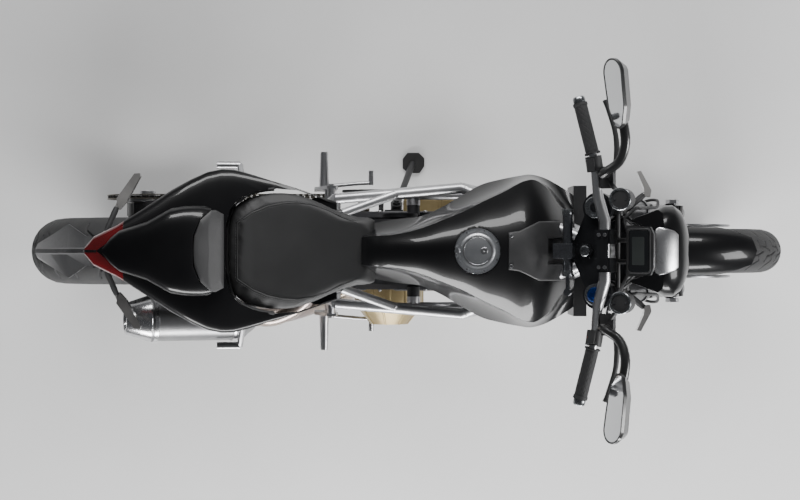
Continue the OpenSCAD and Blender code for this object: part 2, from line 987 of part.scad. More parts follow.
module radiator() {
  core_x = head_low[0] - 62;
  color([0.12, 0.12, 0.125])
    stance()
      union() {
        difference() {
          translate([core_x, -168, 560])
            cube([34, 336, 152]);
          translate([core_x + 28, -140, 570])
            cube([10, 280, 132]);
          translate([core_x - 6, -140, 570])
            cube([10, 280, 132]);
        }
        both_sides()
          difference() {
            rod([core_x + 8, 68, 704], mid(head_low, low1, 0.42), 6);
            rod(head_low, low1, main_tube_r - 0.4 + seat_gap);
          }
        translate([core_x - 4, -96, 408])
          cube([26, 192, 86]);
        both_sides()
          translate([core_x + 4, 74, 490])
            cube([12, 10, 74]);
        for (i = [0 : 6])
          translate([core_x - 6, -84, 414 + 11 * i])
            cube([30, 168, 5]);
      }
}

// Muffler inlets and the pipe routes from the ports; columns x, y, z, radius
can_rise = 17;
can_dir = [-cos(can_rise), 0, sin(can_rise), 0];
can_at = [[-428, -176, 563, 25], [-428, -176, 427, 25]];
front_route = [
  [325, -22, 411.3, 25], [326.8, -22, 406.6, 25], [340, -22, 372.2, 25], [340, -42, 300, 25],
    [284, -70, 216, 25],
  [150, -88, 187, 25], [-40, -96, 184, 25], [-190, -118, 208, 25], [-290, -158, 300, 25],
  can_at[1] - 66 * can_dir, can_at[1] - 20 * can_dir, can_at[1] + 7 * can_dir];
rear_route = [
  [-101.3, -40, 601.2, 25], [-106, -40, 599.4, 25], [-146, -40, 584, 25], [-208, -70, 574, 25],
    [-262, -108, 566, 25],
  [-312, -152, 552, 25], can_at[0] - 62 * can_dir, can_at[0] - 20 * can_dir, can_at[0] + 7 * can_dir];
module exhaust_pipes() {
  color([0.40, 0.36, 0.31])
    stance()
      for (route = [front_route, rear_route])
        pipe(curve(route, 4), 16);
}

module muffler(start) {
  translate(start)
    rotate([0, -90 + can_rise, 0])
      difference() {
        union() {
          cylinder(h = 30, r1 = 34, r2 = muffler_r - 2);
          translate([0, 0, 30])
            cylinder(h = 238, r = muffler_r);
          translate([0, 0, 40])
            cylinder(h = 14, r = muffler_r + 2);
          translate([0, 0, 250])
            cylinder(h = 14, r = muffler_r + 1.6);
          translate([0, 0, 268])
            cylinder(h = 62, r1 = muffler_r, r2 = 40);
        }
        translate([0, 0, 290])
          cylinder(h = 60, r = 30);
        translate([0, 0, -40])
          cylinder(h = 52, r = 25.6);
      }
}

module mufflers() {
  color([0.30, 0.30, 0.31])
    stance()
      for (c = can_at)
        muffler([c[0], c[1], c[2]]);
}

module airbox() {
  color([0.08, 0.08, 0.085])
    stance()
      difference() {
        union() {
          translate([0, 82, 0])
            rotate([90, 0, 0])
              linear_extrude(height = 164)
                polygon([
                  [60, 640], [120, 604], [240, 600], [318, 640], [318, 740], [280, 752],
                  [126, 760 - seat_gap], [84, 760 - seat_gap], [52, 724], [40, 706]]);
          translate([300, -60, 662])
            cube([50, 120, 68]);
        }
        rod(mid(head_low, low1, 0.55), flip(mid(head_low, low1, 0.55)), brace_tube_r - 0.4 + seat_gap);
      }
}

// Tank stations; columns x, crown z, crease y, crease z, edge y, edge z, belly z
tank_rows = [
  [-126, 842, 34, 832, 60, 802, 794], [-112, 858, 36, 846, 66, 797, 784], [-80, 880, 38, 864, 73, 790, 776],
  [-35, tank_top - 44, 42, 884, 81, 784, 770], [22, tank_top - 22, 56, 896, 88, 777, 765],
  [70, tank_top - 9, 74, 900, 108, 769, 762], [126, tank_top - 1, 97, 894, 141, 757, 756],
  [179, tank_top, 124, 882, 170, 742, 754], [230, tank_top - 4, 148, 864, 184, 727, 754],
  [280, tank_top - 13, 174, 846, 194, 711, 756], [302, tank_top - 22, 178, 836, tank_half_w, 706, 758],
  [338, 902, 158, 824, 189, 713, 760], [376, 862, 112, 804, 168, 730, 764],
    [402, 824, 92, 782, 150, 744, 756],
  [412, 800, 84, 770, 142, 752, 753]];

function tank_half(r) = concat(
  [for (i = [0 : 8]) let (t = i / 8) [r[2] * t, r[3] + (r[1] - r[3]) * (1 - pow(t, 1.9))]],
  [for (t = [0.25, 0.5, 0.75, 1]) [r[2] + (r[4] - r[2]) * (0.3 * t + 0.7 * t * t), r[3] + (r[5] - r[3]) * t]],
  [[r[4] - 9, r[5] - 5], [r[4] * 0.48, min(r[6], r[5] + 6)]]);
function tank_ring(r) =
  let (h = tank_half(r), n = len(h))
  concat(
    [for (i = [n - 1 : -1 : 0]) [r[0], h[i][0], h[i][1]]],
    [for (i = [1 : n - 1]) [r[0], -h[i][0], h[i][1]]]);

module tank_skin() {
  loft([for (r = tank_rows) tank_ring(r)]);
}

// Room under the tank for the trellis and the airbox
module tank_tunnel() {
  hull() {
    for (s = [-1, 1]) {
      translate([470, s * 42, 700])
        cylinder(h = 206, r = 8, $fn = 24);
      translate([128, s * (frame_half_w + 16), 600])
        cylinder(h = 150, r = 10, $fn = 24);
    }
  }
  translate([-220, -frame_half_w - 14, 600])
    cube([352, 2 * frame_half_w + 28, 154]);
  translate([0, -104, 600])
    cube([330, 208, 160]);
}

cap_at = [159, 0, tank_top - 4];
module fuel_tank() {
  color([0.05, 0.05, 0.06])
    stance()
      difference() {
        tank_skin();
        tank_tunnel();
        translate([cap_at[0], 0, cap_at[2] - 24])
          cylinder(h = 60, r = cap_r + 6);
        tank_cover_prism(seat_gap);
      }
}

module tank_cover_prism(grow) {
  translate([0, 0, 900 - 30 - grow])
    linear_extrude(height = 100)
      polygon([
        [232 - grow, -46 - grow], [262, -50 - grow], [312, -74 - grow], [420, -76 - grow],
        [420, 76 + grow], [312, 74 + grow], [262, 50 + grow], [232 - grow, 46 + grow]]);
}

module tank_cover() {
  color([0.13, 0.13, 0.14])
    stance()
      difference() {
        intersection() {
          tank_skin();
          tank_cover_prism(0);
        }
        tank_tunnel();
        translate([336, -34, 880])
          cube([80, 68, 80]);
      }
}

module cap_ring() {
  color([0.55, 0.56, 0.58])
    stance()
      translate([cap_at[0], 0, cap_at[2] - 24 + seat_gap])
        difference() {
          union() {
            cylinder(h = 18, r = cap_r + 6 - seat_gap);
            translate([-cap_r - 1, -12, 17])
              cube([12, 6, 12]);
            translate([-cap_r - 1, 6, 17])
              cube([12, 6, 12]);
            translate([-cap_r + 4, 0, 25])
              wheel_turn()
                cylinder(h = 23, r = 2.4, center = true);
          }
          translate([0, 0, 4])
            cylinder(h = 30, r = 34);
        }
}

module fuel_cap() {
  color([0.58, 0.59, 0.61])
    stance()
      translate([cap_at[0], 0, cap_at[2] - 24 + seat_gap])
        difference() {
          union() {
            translate([0, 0, 18.4])
              cylinder(h = 10, r = cap_r - 2);
            translate([0, 0, 28])
              cylinder(h = 3, r1 = cap_r - 5, r2 = cap_r - 12);
            translate([-cap_r + 4, 0, 25])
              wheel_turn()
                cylinder(h = 11, r = 5, center = true);
            translate([0, 0, 6])
              cylinder(h = 14, r = 30);
          }
          translate([-cap_r + 4, 0, 25])
            wheel_turn()
              cylinder(h = 30, r = 2.4 + run_fit, center = true);
          for (s = [-1, 1])
            translate([-cap_r - 2, s * 9 - 4, 16])
              cube([16, 8, 14]);
        }
}

// Seat stations; columns x, half width, lower z, upper z
seat_rows = [
  [-462, 66, 800, 846], [-452, 104, 792, 848], [-430, 130, 784, 846], [-390, 149, 780, 840],
  [-340, 156, 778, 833], [-290, 152, 778, 829], [-240, 136, 780, 827], [-190, 112, 786, 828],
  [-150, 93, 794, 832], [-120, 82, 800, 836], [-94, 76, 806, 840]];
module rider_seat() {
  color([0.07, 0.07, 0.072])
    stance()
      difference() {
        loft([for (r = seat_rows)
          ring_pts(r[0], r[1], r[2] + 10, r[3] + seat_z - 826, 3.2, 40)]);
        translate([-126, 0, 700])
          linear_extrude(height = 300)
            polygon([[-1, -61], [16, -70], [40, -78], [40, 78], [16, 70], [-1, 61]]);
        subframe_tubes(0.5);
      }
}

// Tail stations; columns x, half width, lower z, upper z
tail_rows = [
  [-812, 10, 846, 872], [-790, 36, 838, 880], [-734, 64, 826, 884], [-657, 114, 812, 884],
  [-600, 152, 806, 882], [-550, 180, 802, 880], [-510, 198, 800, 876], [-476, 205, 800, 870],
  [-446, 204, 800, 862], [-414, 196, 798, 850], [-350, 176, 792, 828], [-290, 158, 786, 812],
  [-230, 137, 780, 800], [-190, 124, 776, 792]];
module tail_skin() {
  loft([for (r = tail_rows) ring_pts(r[0], r[1], r[2], r[3], 2.4, 40)]);
}

module tail_fairing() {
  color([0.06, 0.06, 0.065])
    stance()
      difference() {
        tail_skin();
        translate([-470, 0, 787.7])
          linear_extrude(height = 100)
            polygon([
              [6, -64], [17, -104.5], [40, -131], [80, -150], [130, -157], [180, -153], [230, -137],
              [300, -108], [300, 108], [230, 137], [180, 153], [130, 157], [80, 150], [40, 131],
              [17, 104.5], [6, 64]]);
        translate([-830, -34, 780])
          cube([300, 68, 68]);
        subframe_tubes(0.5);
        tail_light_prism(seat_gap);
      }
}

module tail_light_prism(grow) {
  translate([0, 0, 836 - grow])
    linear_extrude(height = 60)
      polygon([
        [-830, -4 - grow], [-734 + grow, -90], [-716 + grow, -90], [-716 + grow, -48],
        [-782 + grow, 0], [-716 + grow, 48], [-716 + grow, 90], [-734 + grow, 90], [-830, 4 + grow]]);
}

module tail_light() {
  color([0.60, 0.05, 0.05])
    stance()
      intersection() {
        tail_skin();
        tail_light_prism(0);
      }
}

// Cowl over the passenger seat; columns x, half width, upper z
cowl_rows = [
  [-766, 10, 888], [-744, 36, 900], [-722, 52, 908], [-653, 74, 926], [-610, 98, 932], [-593, 106, 934],
  [-561, 111, 934], [-540, 112, 930], [-516, 112, 918], [-496, 109, 904]];
module passenger_cowl() {
  color([0.04, 0.04, 0.045])
    stance()
      difference() {
        loft([for (r = cowl_rows) ring_pts(r[0], r[1], 836, r[2], 2.8, 36)]);
        translate([-900, -300, 700])
          cube([500, 600, 184 + seat_gap]);
        pad_prism(seat_gap);
      }
}

// Plan of the pad in front of the cowl: a bowed rear edge and two clipped corners
module pad_prism(grow) {
  translate([0, 0, 800])
    linear_extrude(height = 200)
      polygon([
        [-536 - grow, -36], [-520 - grow, -78 - grow], [-494, -102 - grow], [-484, -103 - grow],
        [-440, -84 - grow], [-440, 84 + grow], [-484, 103 + grow], [-494, 102 + grow],
        [-520 - grow, 78 + grow], [-536 - grow, 36]]);
}

module seat_pad() {
  color([0.11, 0.11, 0.115])
    stance()
      intersection() {
        rotate([90, 0, 0])
          linear_extrude(height = 218, center = true)
            polygon([
              [-539, 879.4], [-510, 876.4], [-476, 870.4], [-466, 868.2], [-466, 884], [-500, 910],
              [-539, 927]]);
        pad_prism(0);
      }
}

module plate_bracket() {
  spine = [
    [-700, 26, 822, 832], [-770, 30, 798, 820], [-830, 38, 748, 782], [-886, 70, 690, 722],
    [-940, 44, 624, 664], [-992, 20, 566, 600]];
  color([0.24, 0.24, 0.25])
    stance()
      union() {
        loft([for (i = [len(spine) - 1 : -1 : 0])
          let (r = spine[i])
          [[r[0], r[1], r[2]], [r[0], r[1], r[2] + 6], [r[0], 9, r[3] - 3], [r[0], 5, r[3] + 4],
            [r[0], -5, r[3] + 4], [r[0], -9, r[3] - 3], [r[0], -r[1], r[2] + 6], [r[0], -r[1], r[2]],
            [r[0], 0, r[3] - 12]]]);
        rod([-776, -44, 803], [-776, 44, 803], 9);
        translate([-714, -25, 824])
          cube([160, 50, 16.4]);
      }
}

module rear_indicators() {
  color([0.85, 0.40, 0.10])
    stance()
      both_sides()
        union() {
          translate([0, 0, 764])
            linear_extrude(height = 22)
              polygon([[-748, 132], [-740, 104], [-722, 124], [-686, 190], [-688, 197], [-702, 196]]);
          difference() {
            rod([-742, 124, 775], [-776, 36, 803], 6);
            translate([-900, -44 - seat_gap, 700])
              cube([300, 88 + 2 * seat_gap, 200]);
          }
        }
}

// Rider footrest with its hanger plate, left side
module footrest_unit() {
  peg = [-240, 176, 386];
  union() {
    translate([0, 164, 0])
      rotate([-90, 0, 0])
        linear_extrude(height = 9)
          polygon([[-200, -576], [-224, -576], [-262, -480], [-268, -372], [-236, -352],
            [-206, -372], [-218, -470], [-196, -540]]);
    translate([peg[0], 172, peg[2]])
      wheel_turn()
        cylinder(h = 26, r = 13);
    translate([peg[0], 196, peg[2]])
      wheel_turn()
        cylinder(h = 78, r1 = 11.5, r2 = 9.5);
    for (i = [0 : 8])
      translate([peg[0], 200 + 8 * i, peg[2]])
        wheel_turn()
          cylinder(h = 4, r = 13 - 0.25 * i);
    for (t = [0.06, 0.5])
      difference() {
        translate([mid(plate_top, plate_low, t)[0], mid(plate_top, plate_low, t)[1], mid(plate_top, plate_low, t)[2]])
          wheel_turn()
            cylinder(h = 166 - mid(plate_top, plate_low, t)[1], r = 10);
        rod(up2, plate_low, main_tube_r - 0.3 + seat_gap);
      }
  }
}

module footrests() {
  color([0.45, 0.45, 0.46])
    stance()
      union() {
        both_sides()
          footrest_unit();
        for (s = [1, -1])
          passenger_peg(s, s > 0 ? 226 : 250);
      }
}

// Folded passenger peg on its hanger, s = 1 left, -1 right
module passenger_peg(s, peg_y) {
  union() {
    rod([-452, s * peg_y, 604], [-512, s * peg_y, 612], 10);
    rod([-452, s * peg_y, 604], [-430, s * 150, 700], 8);
    difference() {
      rod([-430, s * 150, 700], [-468, s * 86, 800], 8.2);
      rod([seat_hi[0], s * seat_hi[1], seat_hi[2]],
        [rear_hi[0], s * rear_hi[1], rear_hi[2]], 9.8 + seat_gap);
    }
  }
}

// Foot lever from the hanger plate to its toe peg, left side
module foot_lever() {
  eye = [-222, 173 + seat_gap, 366];
  union() {
    translate(eye)
      wheel_turn()
        cylinder(h = 13, r = 9);
    rod(eye + [0, 7, 0], [-150, 188, 338], 5.5);
    rod([-150, 188, 338], [-111, 190, 338], 5.2);
    translate([-111, 184, 338])
      wheel_turn()
        cylinder(h = 40, r = 7);
  }
}

module foot_levers() {
  color([0.30, 0.30, 0.31])
    stance()
      both_sides()
        foot_lever();
}

// Side stand: hinge point, foot centre in the upright frame, hinge line
stand_hinge = [-40, 128, 235];
foot_y = 262;
foot_at = [8, foot_y, foot_y * tan(lean) - sink_rear / cos(lean)];
stand_dir = (foot_at - stand_hinge) / norm(foot_at - stand_hinge);
stand_axis = cross(stand_dir, [-1, 0, 0]) / norm(cross(stand_dir, [-1, 0, 0]));

module side_stand() {
  foot_world_y = foot_at[1] * cos(lean) + foot_at[2] * sin(lean) - mirror_z * sin(lean);
  color([0.16, 0.16, 0.17])
    difference() {
      union() {
        stance()
          rod(stand_hinge, foot_at - stand_dir * 6, 9.5);
        stance()
          along(stand_hinge - stand_axis * 10, stand_hinge)
            cylinder(h = 20, r = 17);
        translate([foot_at[0] - middle_x, foot_world_y, 0])
          linear_extrude(height = 9)
            polygon([[-30, -16], [-14, -30], [20, -30], [34, -10], [34, 14], [18, 30], [-16, 30],
              [-30, 12]]);
      }
      stance()
        along(stand_hinge - stand_axis * 30, stand_hinge)
          cylinder(h = 60, r = 7 + run_fit);
      translate([-2000, -2000, -100])
        cube([4000, 4000, 100]);
    }
}

module stand_bracket() {
  color([0.20, 0.20, 0.21])
    stance()
      union() {
        difference() {
          union() {
            translate([-74, 104 + seat_gap, 232])
              cube([68, 12, 62]);
            along(stand_hinge - stand_axis * 30, stand_hinge)
              cylinder(h = 19.4, r = 14);
          }
          translate([-200, 0, 100])
            cube([400, 104 + seat_gap, 300]);
          along(stand_hinge - stand_axis * 10.6, stand_hinge)
            cylinder(h = 60, r = 26);
        }
        along(stand_hinge - stand_axis * 14, stand_hinge)
          cylinder(h = 36, r = 7);
        along(stand_hinge + stand_axis * 10.6, stand_hinge + stand_axis * 18)
          cylinder(h = 6, r = 12, $fn = 6);
      }
}

module swingarm() {
  hub = rear_axle;
  hx = hub[0];
  hz = hub[2];
  color([0.16, 0.16, 0.17])
    stance()
      difference() {
        union() {
          translate(pivot)
            wheel_turn()
              cylinder(h = 216, r = 15, center = true);
          both_sides()
            translate([pivot[0], 62, pivot[2]])
              wheel_turn()
                cylinder(h = 42, r = 30);
          both_sides()
            translate([0, 100, 0])
              rotate([90, 0, 0])
                linear_extrude(height = 36)
                  polygon([[-232, 380], [-232, 432], [-330, 452], [-384, 440], [-384, 372], [-330, 366]]);
          translate([-386, -98, 376])
            cube([82, 220, 68]);
          translate([0, 136, 0])
            rotate([90, 0, 0])
              linear_extrude(height = 38)
                polygon([
                  [-300, 410], [-320, 440], [-384, 446], [hx + 217, hz + 100], [hx + 47, hz + 52],
                    [hx, hz + 58],
                  [hx - 33, hz + 46], [hx - 59, hz], [hx - 39, hz - 44], [hx, hz - 58], [hx + 47, hz - 50],
                  [hx + 217, hz + 10], [-384, 366], [-320, 372]]);
          translate([hub[0], 46, hub[2]])
            wheel_turn()
              cylinder(h = 86, r = 56);
          translate([-322, -16, 430])
            cube([30, 32, 42]);
        }
        translate([hub[0], 0, hub[2]])
          wheel_turn()
            cylinder(h = 200, r = rear_axle_r + run_fit);
        translate([-306, -40, 462])
          wheel_turn()
            cylinder(h = 80, r = 6 + seat_gap);
        translate([-322, -10, 446])
          translate([-6, 0, 0])
            cube([44, 20, 40]);
      }
}

eye_drop = brace_tube_r - 0.45 + 16 + seat_gap;
shock_top = [up2[0] - eye_drop * cos(27), 0, up2[2] - eye_drop * sin(27)];
shock_low = [-306, 0, 462];
module shock() {
  d = shock_top - shock_low;
  color([0.22, 0.22, 0.23])
    stance()
      union() {
        rod(shock_low + d * 0.06, shock_low + d * 0.94, 11);
        along(shock_low + d * 0.46, shock_top)
          cylinder(h = norm(d) * 0.42, r = 21);
        along(shock_low + d * 0.14, shock_top)
          cylinder(h = 8, r = 33);
        along(shock_low + d * 0.82, shock_top)
          cylinder(h = 9, r = 33);
        translate(shock_low + [0, -9.5, 0])
          wheel_turn()
            cylinder(h = 19, r = 13);
        translate(shock_low + [0, -24, 0])
          wheel_turn()
            cylinder(h = 48, r = 6);
        translate(shock_top + [0, -9.5, 0])
          wheel_turn()
            difference() {
              cylinder(h = 19, r = 16);
              translate([0, 0, -1])
                cylinder(h = 30, r = 3);
            }
      }
}

module shock_spring() {
  d = shock_top - shock_low;
  turns = 6;
  length = norm(d) * 0.68 - 8 - 2 * seat_gap - 11;
  color([0.45, 0.08, 0.07])
    stance()
      along(shock_low + d * 0.14, shock_top)
        translate([0, 0, 8 + seat_gap + 5.5])
          pipe([for (i = [0 : turns * 12])
            [28 * cos(30 * i), 28 * sin(30 * i), length * i / (turns * 12), 5.2]], 8);
}

module rear_caliper() {
  color([0.26, 0.26, 0.27])
    stance()
      translate(rear_axle)
        rotate([0, 55, 0])
          difference() {
            union() {
              translate([74, 8, -34])
              cube([56, 37, 68]);
              translate([20, 34, -16])
                cube([60, 12 - seat_gap, 32]);
            }
            translate([0, rear_disc_y, 0])
              wheel_turn()
                cylinder(h = disc_t + 4, r = rear_disc_r + 3, center = true);
            wheel_turn()
              cylinder(h = 100, r = rear_axle_r + 26, center = true);
          }
}

module rear_hugger() {
  in_r = rear_tyre_r + tread_gap;
  arm_at = [pivot[0] - 146, 0, 456];
  color([0.07, 0.07, 0.075])
    stance()
      union() {
        translate(rear_axle)
          wheel_turn()
            rotate([0, 0, -100])
              rotate_extrude(angle = 82, $fn = 96)
                difference() {
                  translate([in_r + 4 - 98, 0])
                    circle(r = 98);
                  translate([in_r - 94, 0])
                    circle(r = 94);
                  translate([0, -120])
                    square([in_r - 46, 240]);
                }
        difference() {
          for (s = [-26, 26])
            rod(arm_at + [0, s, 0], rear_axle + [0, s, 0], 10);
          translate([pivot[0] - 200, -98, 370])
            cube([130, 240, 74 + seat_gap]);
          translate(rear_axle)
            wheel_turn()
              cylinder(h = 300, r = in_r - 2, center = true);
        }
      }
}

module rear_tyre() {
  color([0.06, 0.06, 0.065])
    stance()
      translate(rear_axle)
        tyre(rear_tyre_r, crown_rear, rear_bead_half, rear_bead_r);
}

module rear_wheel() {
  color([0.10, 0.10, 0.11])
    stance()
      translate(rear_axle)
        wheel_turn()
          difference() {
            union() {
              rotate_extrude($fn = 96)
                rim_section(rear_bead_half, rear_bead_r);
              translate([0, 0, -14])
              spokes(30, 58, rear_bead_r);
              translate([0, 0, -56])
                cylinder(h = 56 + rear_disc_y - disc_t / 2 - seat_gap, r = 58);
            }
            cylinder(h = 200, r = rear_axle_r + seat_gap, center = true);
          }
}

module rear_disc() {
  color([0.60, 0.61, 0.63])
    stance()
      translate(rear_axle + [0, rear_disc_y, 0])
        wheel_turn()
          drilled_disc(rear_disc_r, 36, rear_axle_r + 2, 6);
}

module rear_axle_shaft() {
  color([0.66, 0.67, 0.69])
    stance()
      translate(rear_axle)
        wheel_turn()
          difference() {
            union() {
              translate([0, 0, -84])
                cylinder(h = 84 + 168, r = rear_axle_r);
              translate([0, 0, -84])
                cylinder(h = 28 - seat_gap, r = 36, $fn = 6);
              translate([0, 0, 138])
                cylinder(h = chain_y - 3 - seat_gap - 138, r = 58);
            }
            translate([0, 0, -100])
              cylinder(h = 300, r = rear_axle_bore_r);
          }
}

module sprocket_2d(teeth, pitch_r, bore) {
  difference() {
    union() {
      circle(r = pitch_r - 5);
      for (i = [0 : teeth - 1])
        rotate(360 * (i + 0.5) / teeth)
          polygon([[pitch_r - 8, -5.2], [pitch_r + 1, -3.2], [pitch_r + 5, -1.4], [pitch_r + 5, 1.4],
            [pitch_r + 1, 3.2], [pitch_r - 8, 5.2]]);
    }
    circle(r = bore);
  }
}

module rear_sprocket() {
  color([0.42, 0.42, 0.43])
    stance()
      translate([rear_axle[0], chain_y, rear_axle[2]])
        wheel_turn()
          translate([0, 0, -3])
            linear_extrude(height = 6)
              difference() {
                sprocket_2d(rear_teeth, rear_pitch_r, rear_axle_r + seat_gap);
                for (i = [0 : 4])
                  rotate(72 * i)
                    translate([74, 0])
                      circle(r = 15);
              }
}

// Chain loop: two bands of plates either side of the sprockets, joined by pins on the free runs
chain_run = [rear_axle[0] - front_sprocket[0], rear_axle[2] - front_sprocket[2]];
chain_len = norm(chain_run);
chain_tilt = atan2(chain_run[1], -chain_run[0]);
chain_open = asin((rear_pitch_r - front_pitch_r) / chain_len);
free_run = chain_len * cos(chain_open);
run_links = floor((free_run - 42 - 1.8 * chain_pitch) / chain_pitch);

module loop_2d(grow) {
  difference() {
    offset(r = grow)
      hull() {
        circle(r = front_pitch_r);
        translate([-chain_len, 0])
          circle(r = rear_pitch_r);
      }
    offset(r = -grow)
      hull() {
        circle(r = front_pitch_r);
        translate([-chain_len, 0])
          circle(r = rear_pitch_r);
      }
  }
}

module chain_place() {
  translate(front_sprocket)
    rotate([0, chain_tilt, 0])
      rotate([90, 0, 0])
        children();
}

module chain() {
  color([0.36, 0.34, 0.28])
    stance()
      chain_place()
        union() {
          for (s = [4, -6.5])
            translate([0, 0, s])
              linear_extrude(height = 2.5)
                loop_2d(6.5);
          for (side = [1, -1])
            for (i = [0 : run_links])
              rotate([0, 0, -side * chain_open])
                translate([-chain_pitch * (i + 1.8), side * front_pitch_r, 0])
                  cylinder(h = 8.6, r = 4.6, center = true, $fn = 16);
          translate([0, 0, -3])
            linear_extrude(height = 6)
              sprocket_2d(front_teeth, front_pitch_r, 8);
          cylinder(h = chain_y - 104 - seat_gap, r = 16);
        }
}

frame();
subframe();
crankcase();
cylinders();
engine_covers();
sprocket_cover();
radiator();
exhaust_pipes();
mufflers();
airbox();
fuel_tank();
tank_cover();
cap_ring();
fuel_cap();
rider_seat();
tail_fairing();
tail_light();
passenger_cowl();
seat_pad();
plate_bracket();
rear_indicators();
footrests();
foot_levers();
side_stand();
stand_bracket();
swingarm();
shock();
shock_spring();
rear_caliper();
rear_hugger();
chain();
rear_tyre();
rear_wheel();
rear_disc();
rear_axle_shaft();
rear_sprocket();
steering_damper();
triple_clamps();
fork_tubes();
fork_sliders();
front_axle_shaft();
front_calipers();
front_fender();
handlebar();
grips();
controls();
brake_hoses();
mirrors();
mirror_glass();
lamp_bracket();
headlight_shell();
headlight_lens();
instrument();
front_indicators();
front_tyre();
front_wheel();
front_discs();
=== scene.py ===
import math

import bpy
import numpy as np
from mathutils import Matrix


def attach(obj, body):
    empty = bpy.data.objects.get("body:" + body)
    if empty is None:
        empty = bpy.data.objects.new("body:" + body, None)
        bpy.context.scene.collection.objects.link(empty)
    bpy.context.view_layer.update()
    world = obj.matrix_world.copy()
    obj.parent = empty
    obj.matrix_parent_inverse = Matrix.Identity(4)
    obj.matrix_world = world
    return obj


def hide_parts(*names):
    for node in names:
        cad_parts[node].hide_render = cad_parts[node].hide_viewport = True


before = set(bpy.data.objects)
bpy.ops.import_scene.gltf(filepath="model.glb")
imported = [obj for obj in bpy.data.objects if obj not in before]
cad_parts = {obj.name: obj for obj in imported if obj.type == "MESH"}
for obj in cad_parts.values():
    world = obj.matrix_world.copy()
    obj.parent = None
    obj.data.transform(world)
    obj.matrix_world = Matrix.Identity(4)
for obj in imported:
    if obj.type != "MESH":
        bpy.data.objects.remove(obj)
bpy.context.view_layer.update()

# Trellis frame: straight steel tubes, mitred and welded into triangles from the steering head to the engine.
# Sprayed in a satin metallic grey over the welds, and bolted to the crankcase through round bosses.
edge_round, edge_angle, weld_reach = 0.0007, math.radians(31), 0.00002
tone = bpy.data.node_groups.new("coat_tone", "ShaderNodeTree")
for label, kind, value in [
        ("Base", "Color", (0.5, 0.5, 0.5, 1)), ("Shade", "Color", (0.4, 0.4, 0.4, 1)),
        ("Patch scale", "Float", 20.0), ("Grain scale", "Float", 900.0),
        ("Rough low", "Float", 0.3), ("Rough high", "Float", 0.4)]:
    tone.interface.new_socket(label, in_out="INPUT", socket_type="NodeSocket" + kind).default_value = value
for label, kind in [("Color", "Color"), ("Roughness", "Float"), ("Height", "Float")]:
    tone.interface.new_socket(label, in_out="OUTPUT", socket_type="NodeSocket" + kind)
t_in, t_out = tone.nodes.new("NodeGroupInput"), tone.nodes.new("NodeGroupOutput")
t_at = tone.nodes.new("ShaderNodeTexCoord").outputs["Object"]


def grain_noise(scale, detail):
    """A noise texture on the piece's own coordinates, at the scale that a named input of the group gives."""
    n = tone.nodes.new("ShaderNodeTexNoise")
    n.inputs["Detail"].default_value = detail
    tone.links.new(t_at, n.inputs["Vector"])
    tone.links.new(t_in.outputs[scale], n.inputs["Scale"])
    return n.outputs["Fac"]


def spread(value, low, high, to_low=0.0, to_high=1.0):
    """A value stretched from one range to another; each end is a number or a socket."""
    r = tone.nodes.new("ShaderNodeMapRange")
    tone.links.new(value, r.inputs["Value"])
    for label, end in zip(["From Min", "From Max", "To Min", "To Max"], [low, high, to_low, to_high]):
        if isinstance(end, float):
            r.inputs[label].default_value = end
        else:
            tone.links.new(end, r.inputs[label])
    return r.outputs["Result"]


t_patch, t_grain = grain_noise("Patch scale", 5), grain_noise("Grain scale", 3)
t_mix = tone.nodes.new("ShaderNodeMix")
t_mix.data_type = "RGBA"
tone.links.new(spread(t_patch, 0.36, 0.66), t_mix.inputs["Factor"])
tone.links.new(t_in.outputs["Base"], t_mix.inputs[6])
tone.links.new(t_in.outputs["Shade"], t_mix.inputs[7])
t_gloss = spread(t_grain, 0.32, 0.68, t_in.outputs["Rough low"], t_in.outputs["Rough high"])
tone.links.new(t_mix.outputs[2], t_out.inputs["Color"])
tone.links.new(t_gloss, t_out.inputs["Roughness"])
tone.links.new(t_grain, t_out.inputs["Height"])


def coat(name, base, shade, rough, metal=0.0, patch=18.0, grain=900.0, relief=0.15, depth=0.0004, **sockets):
    """A finish whose colour drifts between two tones and whose gloss and relief follow a fine grain."""
    m = bpy.data.materials.new(name)
    m.use_nodes = True
    t = m.node_tree
    p = t.nodes["Principled BSDF"]
    g = t.nodes.new("ShaderNodeGroup")
    g.node_tree = tone
    for socket, value in zip(g.inputs, [(*base, 1), (*shade, 1), patch, grain, *rough]):
        socket.default_value = value
    t.links.new(g.outputs["Color"], p.inputs["Base Color"])
    t.links.new(g.outputs["Roughness"], p.inputs["Roughness"])
    b = t.nodes.new("ShaderNodeBump")
    b.inputs["Strength"].default_value = relief
    b.inputs["Distance"].default_value = depth
    t.links.new(g.outputs["Height"], b.inputs["Height"])
    t.links.new(b.outputs["Normal"], p.inputs["Normal"])
    p.inputs["Metallic"].default_value = metal
    for label, value in sockets.items():
        p.inputs[label.replace("_", " ")].default_value = value
    return m


softening = bpy.data.node_groups.new("weld_and_smooth", "GeometryNodeTree")
softening.interface.new_socket("Geometry", in_out="INPUT", socket_type="NodeSocketGeometry")
softening.interface.new_socket("Geometry", in_out="OUTPUT", socket_type="NodeSocketGeometry")
s_in, s_out = softening.nodes.new("NodeGroupInput"), softening.nodes.new("NodeGroupOutput")
s_weld = softening.nodes.new("GeometryNodeMergeByDistance")
s_weld.inputs["Distance"].default_value = weld_reach
s_round = softening.nodes.new("GeometryNodeSetShadeSmooth")
s_angle = softening.nodes.new("GeometryNodeInputMeshEdgeAngle")
s_flat = softening.nodes.new("FunctionNodeCompare")
s_flat.operation = "LESS_THAN"
s_flat.inputs[1].default_value = edge_angle
s_edge = softening.nodes.new("GeometryNodeSetShadeSmooth")
s_edge.domain = "EDGE"
softening.links.new(s_in.outputs[0], s_weld.inputs["Geometry"])
softening.links.new(s_weld.outputs[0], s_round.inputs["Geometry"])
softening.links.new(s_round.outputs[0], s_edge.inputs["Geometry"])
